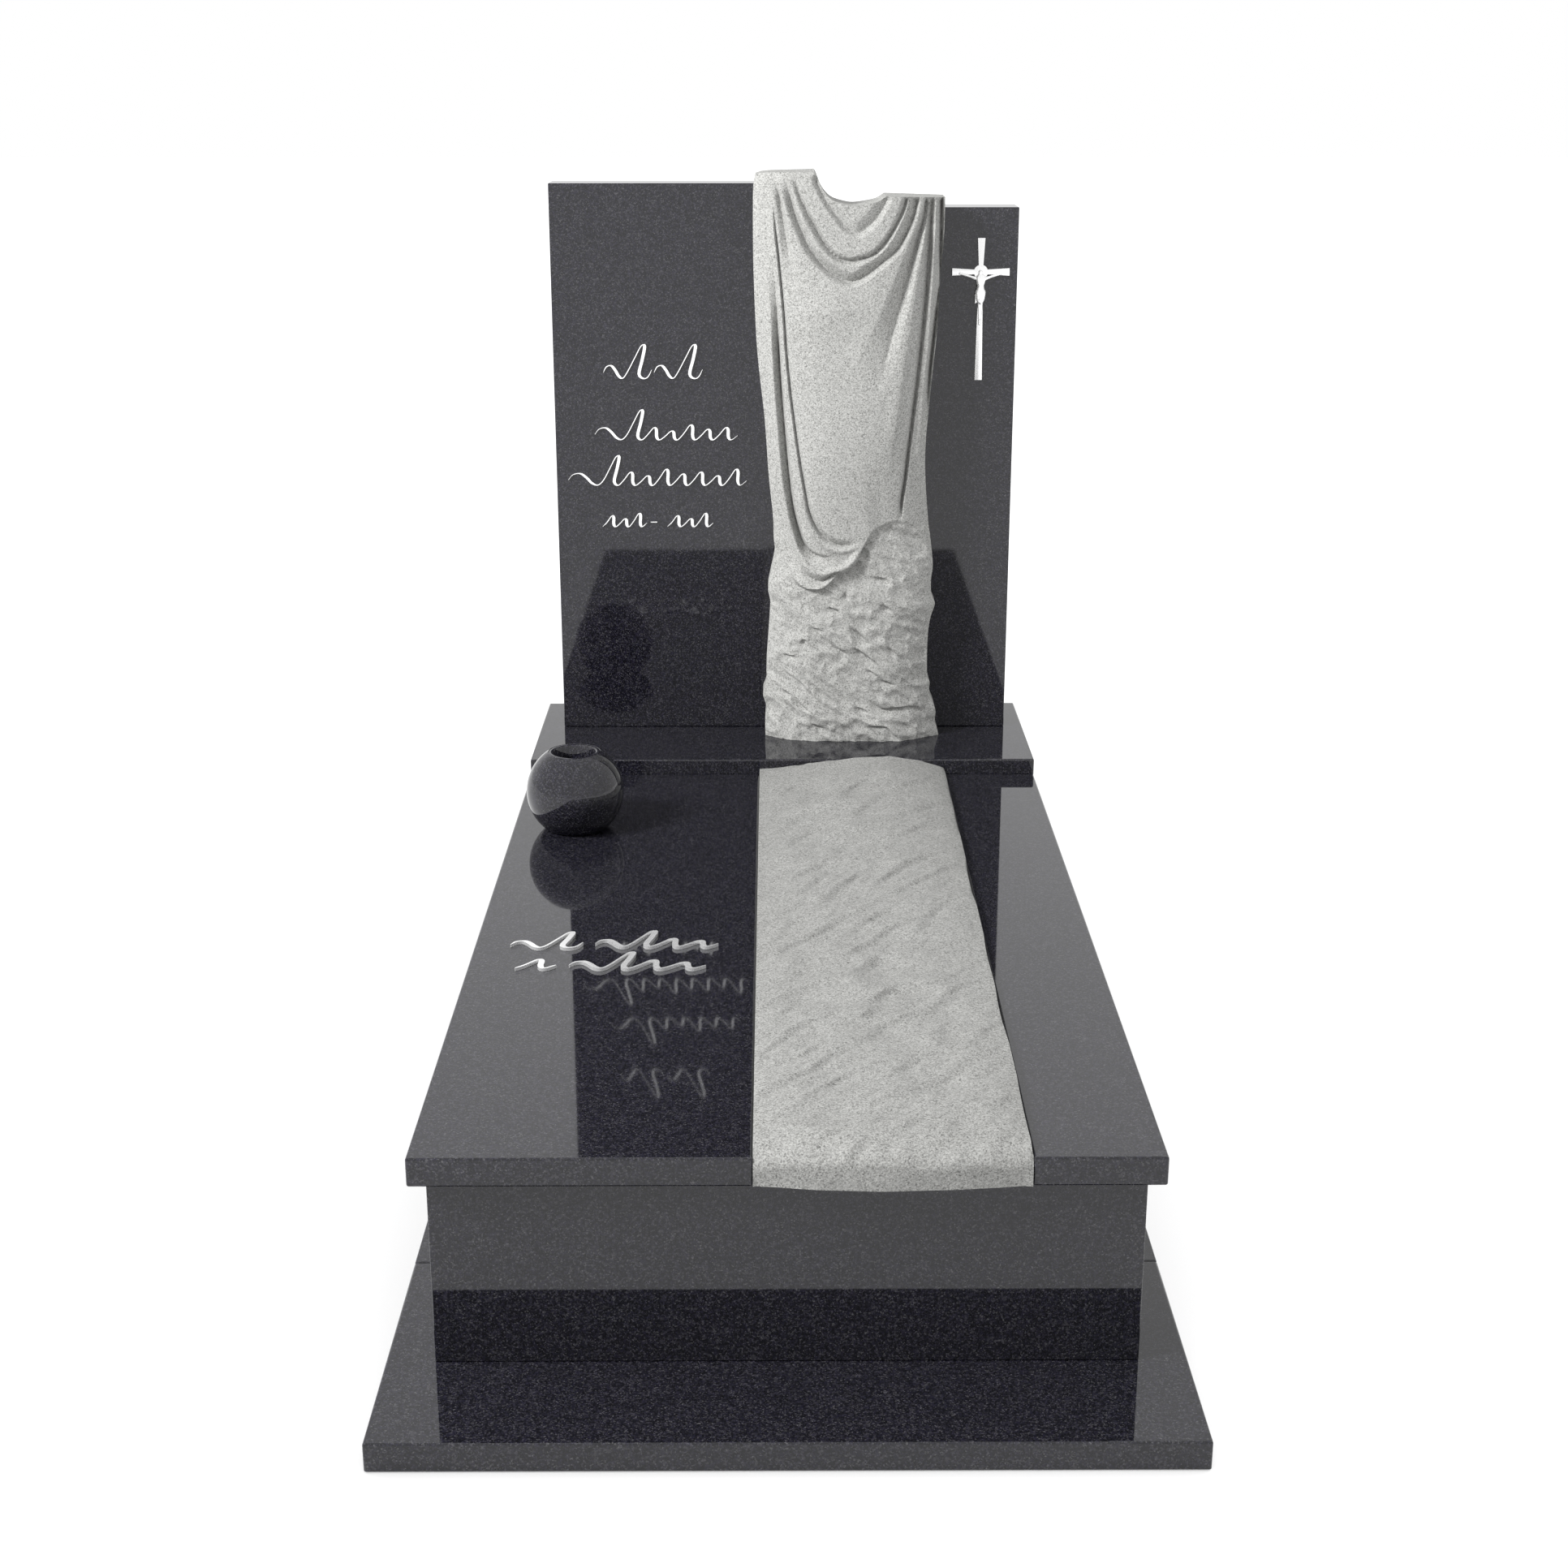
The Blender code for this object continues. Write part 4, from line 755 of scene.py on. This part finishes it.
def plain_cross():
    """The cross, a copy of the CAD node's mesh with its edges rounded."""
    bm = bmesh.new()
    bm.from_mesh(frame["nodes"]["crucifix_cross"].data)
    bmesh.ops.remove_doubles(bm, verts=bm.verts, dist=merge_reach)
    bmesh.ops.dissolve_limit(bm, angle_limit=math.radians(1), verts=bm.verts, edges=bm.edges)
    rims = [e for e in bm.edges if len(e.link_faces) == 2 and e.calc_face_angle(0.0) > math.radians(60)]
    bmesh.ops.bevel(bm, geom=rims, offset=cross_edge_round, offset_type="OFFSET", affect="EDGES",
                    segments=cross_edge_steps, profile=0.5, material=-1, clamp_overlap=True)
    soften(bm, crisp_crease)
    add_piece("rounded_cross", bm, bright_metal, "bright_metal", "crucifix_cross")


def figure_forms():
    """Every form of the figure, with the arms on both sides."""
    forms = list(FIGURE_FORMS)
    for side in (-1, 1):
        for (x0, z0), (x1, z1), *sizes in ARM_FORMS:
            forms.append(((side * x0, z0), (side * x1, z1), *sizes))
    return forms


def add_beads(bm, form, deep):
    """A run of beads that narrows or widens from one end of a form to the other."""
    (x0, z0), (x1, z1), start_radius, end_radius, relief = form
    length = math.hypot(x1 - x0, z1 - z0)
    beads = max(3, int(length / min(start_radius, end_radius) * figure_bead_pitch))
    for bead in range(beads + 1):
        t = bead / beads
        radius = start_radius + (end_radius - start_radius) * t
        squash = Matrix.Diagonal((radius, min(radius * figure_fullness, deep * relief), radius, 1))
        place = Matrix.Translation((x0 + (x1 - x0) * t, 0, z0 + (z1 - z0) * t))
        bmesh.ops.create_icosphere(bm, subdivisions=3, radius=1.0, matrix=place @ squash)


def smooth_skin(bm, cell):
    """One smooth closed skin over all the forms in a bmesh, which is used up."""
    mesh = bpy.data.meshes.new("figure_forms")
    bm.to_mesh(mesh)
    bm.free()
    forms = new_object("figure_forms", mesh)
    skin = forms.modifiers.new("skin", "REMESH")
    skin.mode = "VOXEL"
    skin.voxel_size = cell
    calm = forms.modifiers.new("calm", "SMOOTH")
    calm.iterations = figure_smoothing
    return finished_mesh(forms)


def cast_figure():
    """A calm figure in low relief, arms along the cross-bar, flat at its back where it meets the cross."""
    unit = cross_height
    low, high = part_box("crucifix_cross")
    middle = Vector(((low.x + high.x) / 2, low.y - seat_gap, low.z + unit * (1 - cross_arm_share)))
    bm = bmesh.new()
    for form in figure_forms():
        add_beads(bm, form, figure_relief / unit)
    bmesh.ops.scale(bm, vec=(unit, unit, unit), verts=bm.verts)
    bm = smooth_skin(bm, unit / figure_cells)
    everything = list(bm.verts) + list(bm.edges) + list(bm.faces)
    cut = bmesh.ops.bisect_plane(bm, geom=everything, plane_co=(0, 0, 0), plane_no=(0, 1, 0),
                                 clear_outer=True)
    rim = [e for e in cut["geom_cut"] if isinstance(e, bmesh.types.BMEdge)]
    bmesh.ops.contextual_create(bm, geom=rim)
    bmesh.ops.recalc_face_normals(bm, faces=bm.faces)
    bmesh.ops.translate(bm, vec=middle, verts=bm.verts)
    soften(bm, figure_crease)
    add_piece("cast_figure", bm, bright_metal, "bright_metal", "crucifix_figure")


def stroke_line(length, height, swash, waves, tall):
    """The run of a pen: a lead-in swash, one tall slanted stroke, then low waves of a steady pitch."""
    line = [(0.0, 0.0)]
    from_x = 0.0
    if swash:
        wide, high = swash
        lean = tall * pen_slant
        line = [(wide * across, high * up) for across, up in SWASH]
        line += [(wide + lean * across, tall * up) for across, up in TALL_STROKE]
        from_x = line[-1][0]
    if waves == 0:
        return line + [(length * stroke_tail[0], height * stroke_tail[1]), (length, height)]
    pitch = (length - from_x) / (waves + wave_end[0])
    for wave in range(int(waves)):
        lift = height * WAVE_LIFTS[wave % len(WAVE_LIFTS)]
        for across, up in LOW_WAVE:
            line.append((from_x + (wave + across) * pitch + lift * up * pen_slant / 2, lift * up))
    return line + [(length, height * wave_end[1])]


def ribbon_outline(line, pen):
    """Both sides of a pen stroke, thick on the way down and thin on the way up."""
    thin, thick = pen
    line = smooth_line(line, 4)
    along = np.gradient(line, axis=0)
    along /= np.linalg.norm(along, axis=1)[:, None]
    half = (thin + (thick - thin) * np.clip(-along[:, 1], 0, 1)) / 2
    share = np.linspace(0, 1, len(line))
    ends = ease(0.0, pen_taper, share) * ease(0.0, pen_taper, share[::-1])
    half = half * (pen_tip + (1 - pen_tip) * ends)
    normal = np.stack((-along[:, 1], along[:, 0]), axis=1) * half[:, None]
    return [tuple(p) for p in line + normal] + [tuple(p) for p in (line - normal)[::-1]]


def flat_shape(name, outline, thickness):
    """A flat curve filled to a plate of the given thickness, lying in its own XY plane."""
    curve = bpy.data.curves.new(name, "CURVE")
    curve.dimensions = "2D"
    curve.fill_mode = "BOTH"
    curve.extrude = thickness / 2
    spline = curve.splines.new("POLY")
    spline.points.add(len(outline) - 1)
    for point, (x, y) in zip(spline.points, outline):
        point.co = (x, y, 0, 1)
    spline.use_cyclic_u = True
    bm = finished_mesh(new_object(name, curve))
    bmesh.ops.remove_doubles(bm, verts=bm.verts, dist=merge_reach)
    return bm


def pen_strokes():
    """Rows of bright pen strokes on the left panel and the left cover plate, each at its CAD node."""
    upright = Matrix.Rotation(math.pi / 2, 4, "X")
    flat = Matrix.Identity(4)
    for rows, pen, thickness, turn in ((PANEL_STROKES, panel_pen, panel_stroke_thickness, upright),
                                       (COVER_STROKES, cover_pen, cover_stroke_thickness, flat)):
        for node, run in rows.items():
            low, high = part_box(node)
            bm = flat_shape(node, ribbon_outline(stroke_line(*run), pen), thickness)
            bmesh.ops.transform(bm, matrix=turn, verts=bm.verts)
            ends = np.array([v.co[:] for v in bm.verts])
            shift = (Vector(low) + Vector(high) - Vector(ends.min(axis=0)) - Vector(ends.max(axis=0))) / 2
            bmesh.ops.translate(bm, vec=shift, verts=bm.verts)
            bmesh.ops.recalc_face_normals(bm, faces=bm.faces)
            soften(bm, crisp_crease)
            add_piece("bright_" + node, bm, bright_metal, "bright_metal", node)


def new_material(name):
    """A new material with its node tree, its shader and the object coordinates that patterns follow."""
    made = bpy.data.materials.new(name)
    made.use_nodes = True
    tree = made.node_tree
    shader = tree.nodes["Principled BSDF"]
    places = tree.nodes.new("ShaderNodeTexCoord").outputs["Object"]
    return made, tree, shader, places


def grain_cells(tree, places, scale, dots):
    """Random grains: a share of the cells named by (from, to) steps, as a grey ramp's output colour."""
    cells = tree.nodes.new("ShaderNodeTexVoronoi")
    cells.inputs["Scale"].default_value = scale
    tree.links.new(places, cells.inputs["Vector"])
    split = tree.nodes.new("ShaderNodeSeparateColor")
    tree.links.new(cells.outputs["Color"], split.inputs["Color"])
    ramp = tree.nodes.new("ShaderNodeValToRGB")
    ramp.color_ramp.interpolation = "LINEAR"
    stops = ramp.color_ramp.elements
    stops[0].position, stops[0].color = dots[0][0], (*dots[0][1], 1)
    stops[1].position, stops[1].color = dots[-1][0], (*dots[-1][1], 1)
    for position, colour in dots[1:-1]:
        stop = stops.new(position)
        stop.color = (*colour, 1)
    tree.links.new(split.outputs["Red"], ramp.inputs["Fac"])
    return ramp.outputs["Color"]


def mixed(tree, factor, first, second, blend="MIX"):
    """Two colours laid over each other by a fixed factor."""
    mix = tree.nodes.new("ShaderNodeMix")
    mix.data_type = "RGBA"
    mix.blend_type = blend
    mix.inputs["Factor"].default_value = factor
    tree.links.new(first, mix.inputs["A"])
    tree.links.new(second, mix.inputs["B"])
    return mix.outputs["Result"]


def make_dark_granite():
    """Polished dark granite: near black, with fine lighter and bluish grains."""
    made, tree, shader, places = new_material("polished_dark_granite")
    fine = grain_cells(tree, places, dark_fine_cells, DARK_FINE_GRAINS)
    coarse = grain_cells(tree, places, dark_coarse_cells, DARK_COARSE_GRAINS)
    colour = mixed(tree, dark_coarse_share, fine, coarse)
    tree.links.new(colour, shader.inputs["Base Color"])
    shader.inputs["Roughness"].default_value = dark_polish
    shader.inputs["IOR"].default_value = dark_index
    return made


def make_light_granite(name, tint):
    """Split light granite: pale feldspar, grey quartz and small dark grains, with a gritty skin."""
    made, tree, shader, places = new_material(name)
    # The tint scales every grain's colour; the strip's copy has a lower one, painted shade for its strongly
    # lit top
    tinted = [(at, tuple(c * tint for c in colour)) for at, colour in LIGHT_GRAINS]
    body = grain_cells(tree, places, light_cells, tinted)
    dark = grain_cells(tree, places, speck_cells, LIGHT_SPECKS)
    colour = mixed(tree, speck_strength, body, dark, "MULTIPLY")
    tree.links.new(colour, shader.inputs["Base Color"])
    shader.inputs["Roughness"].default_value = light_roughness
    shader.inputs["Specular IOR Level"].default_value = light_gloss
    grit = tree.nodes.new("ShaderNodeTexNoise")
    grit.inputs["Scale"].default_value = grit_scale
    grit.inputs["Detail"].default_value = grit_detail
    tree.links.new(places, grit.inputs["Vector"])
    bump = tree.nodes.new("ShaderNodeBump")
    bump.inputs["Strength"].default_value = grit_strength
    bump.inputs["Distance"].default_value = grit_depth
    tree.links.new(grit.outputs["Fac"], bump.inputs["Height"])
    tree.links.new(bump.outputs["Normal"], shader.inputs["Normal"])
    return made


def make_bright_metal():
    """Bright silver metal with a fine satin."""
    made, tree, shader, places = new_material("bright_silver_metal")
    satin = tree.nodes.new("ShaderNodeTexNoise")
    satin.inputs["Scale"].default_value = satin_scale
    tree.links.new(places, satin.inputs["Vector"])
    spread = tree.nodes.new("ShaderNodeMapRange")
    spread.inputs["To Min"].default_value = satin_roughness[0]
    spread.inputs["To Max"].default_value = satin_roughness[1]
    tree.links.new(satin.outputs["Fac"], spread.inputs["Value"])
    tree.links.new(spread.outputs["Result"], shader.inputs["Roughness"])
    shader.inputs["Base Color"].default_value = (metal_white, metal_white, metal_white, 1)
    shader.inputs["Metallic"].default_value = metal_share
    return made


def pale_floor():
    """A wide pale floor just under the grave."""
    bm = bmesh.new()
    bmesh.ops.create_grid(bm, x_segments=1, y_segments=1, size=floor_size / 2)
    mesh = bpy.data.meshes.new("floor")
    bm.to_mesh(mesh)
    bm.free()
    floor = new_object("floor", mesh)
    paint, _, shader, _ = new_material("pale_floor")
    shader.inputs["Base Color"].default_value = (floor_white, floor_white, floor_white, 1)
    shader.inputs["Roughness"].default_value = 0.9
    shader.inputs["Specular IOR Level"].default_value = 0.0
    mesh.materials.append(paint)
    floor.location.z = -floor_drop
    return floor


def white_surround():
    """Even white light from all round."""
    world = bpy.data.worlds.new("white_surround")
    world.use_nodes = True
    surround = world.node_tree.nodes["Background"]
    surround.inputs["Color"].default_value = (1, 1, 1, 1)
    surround.inputs["Strength"].default_value = surround_strength
    bpy.context.scene.world = world
    bpy.context.scene.view_settings.view_transform = "Standard"


def key_light(floor):
    """One large soft light from the front left, for the grave alone."""
    light = bpy.data.lights.new("key", "AREA")
    light.size = key_size
    light.energy = key_power
    key = new_object("key", light)
    key.location = key_place
    aim = Vector(key_aim) - Vector(key_place)
    key.rotation_euler = aim.to_track_quat("-Z", "Y").to_euler()
    key.visible_glossy = False
    lit = bpy.data.collections.new("lit_by_key")
    for piece in bpy.context.scene.objects:
        if piece.type == "MESH" and piece != floor:
            lit.objects.link(piece)
    key.light_linking.receiver_collection = lit


def floor_wash(floor):
    """Soft light from above for the floor alone."""
    light = bpy.data.lights.new("floor_wash", "SUN")
    light.energy = wash_strength
    light.angle = wash_spread
    wash = new_object("floor_wash", light)
    wash.location = wash_place
    washed = bpy.data.collections.new("washed_floor")
    washed.objects.link(floor)
    wash.light_linking.receiver_collection = washed
    wash.light_linking.blocker_collection = washed


def camera():
    """The camera in front of the grave's foot, a little above the headstone's top."""
    lens = bpy.data.cameras.new("camera")
    lens.lens = camera_lens
    lens.sensor_width = camera_sensor
    lens.clip_start, lens.clip_end = camera_reach
    holder = new_object("camera", lens)
    holder.location = camera_place
    holder.rotation_euler = (math.radians(camera_tilt), 0, math.radians(camera_turn))
    bpy.context.scene.camera = holder


dark_granite = make_dark_granite()
light_granite = make_light_granite("carved_light_granite", column_tint)
# The strip's copy of the light granite is darkened by its tint: painted shade for its strongly lit top
shaded_strip_granite = make_light_granite("split_light_granite_shaded", strip_shade_tint)
bright_metal = make_bright_metal()

for slab in ("ledge_front_slab", "ledge_left_strip", "ledge_right_strip", "ledge_back_strip",
             "cover_left_plate", "cover_right_plate", "headstone_base"):
    polished_slab(slab, arris_round)
for slab in ("kerb_front_wall", "kerb_back_wall", "kerb_left_wall", "kerb_right_wall", "kerb_cross_wall",
             "headstone_left_panel", "headstone_right_panel"):
    polished_slab(slab, joint_round)
carved_column()
split_strip()
ball_vase()
plain_cross()
cast_figure()
pen_strokes()
grave_floor = pale_floor()
white_surround()
key_light(grave_floor)
floor_wash(grave_floor)
camera()
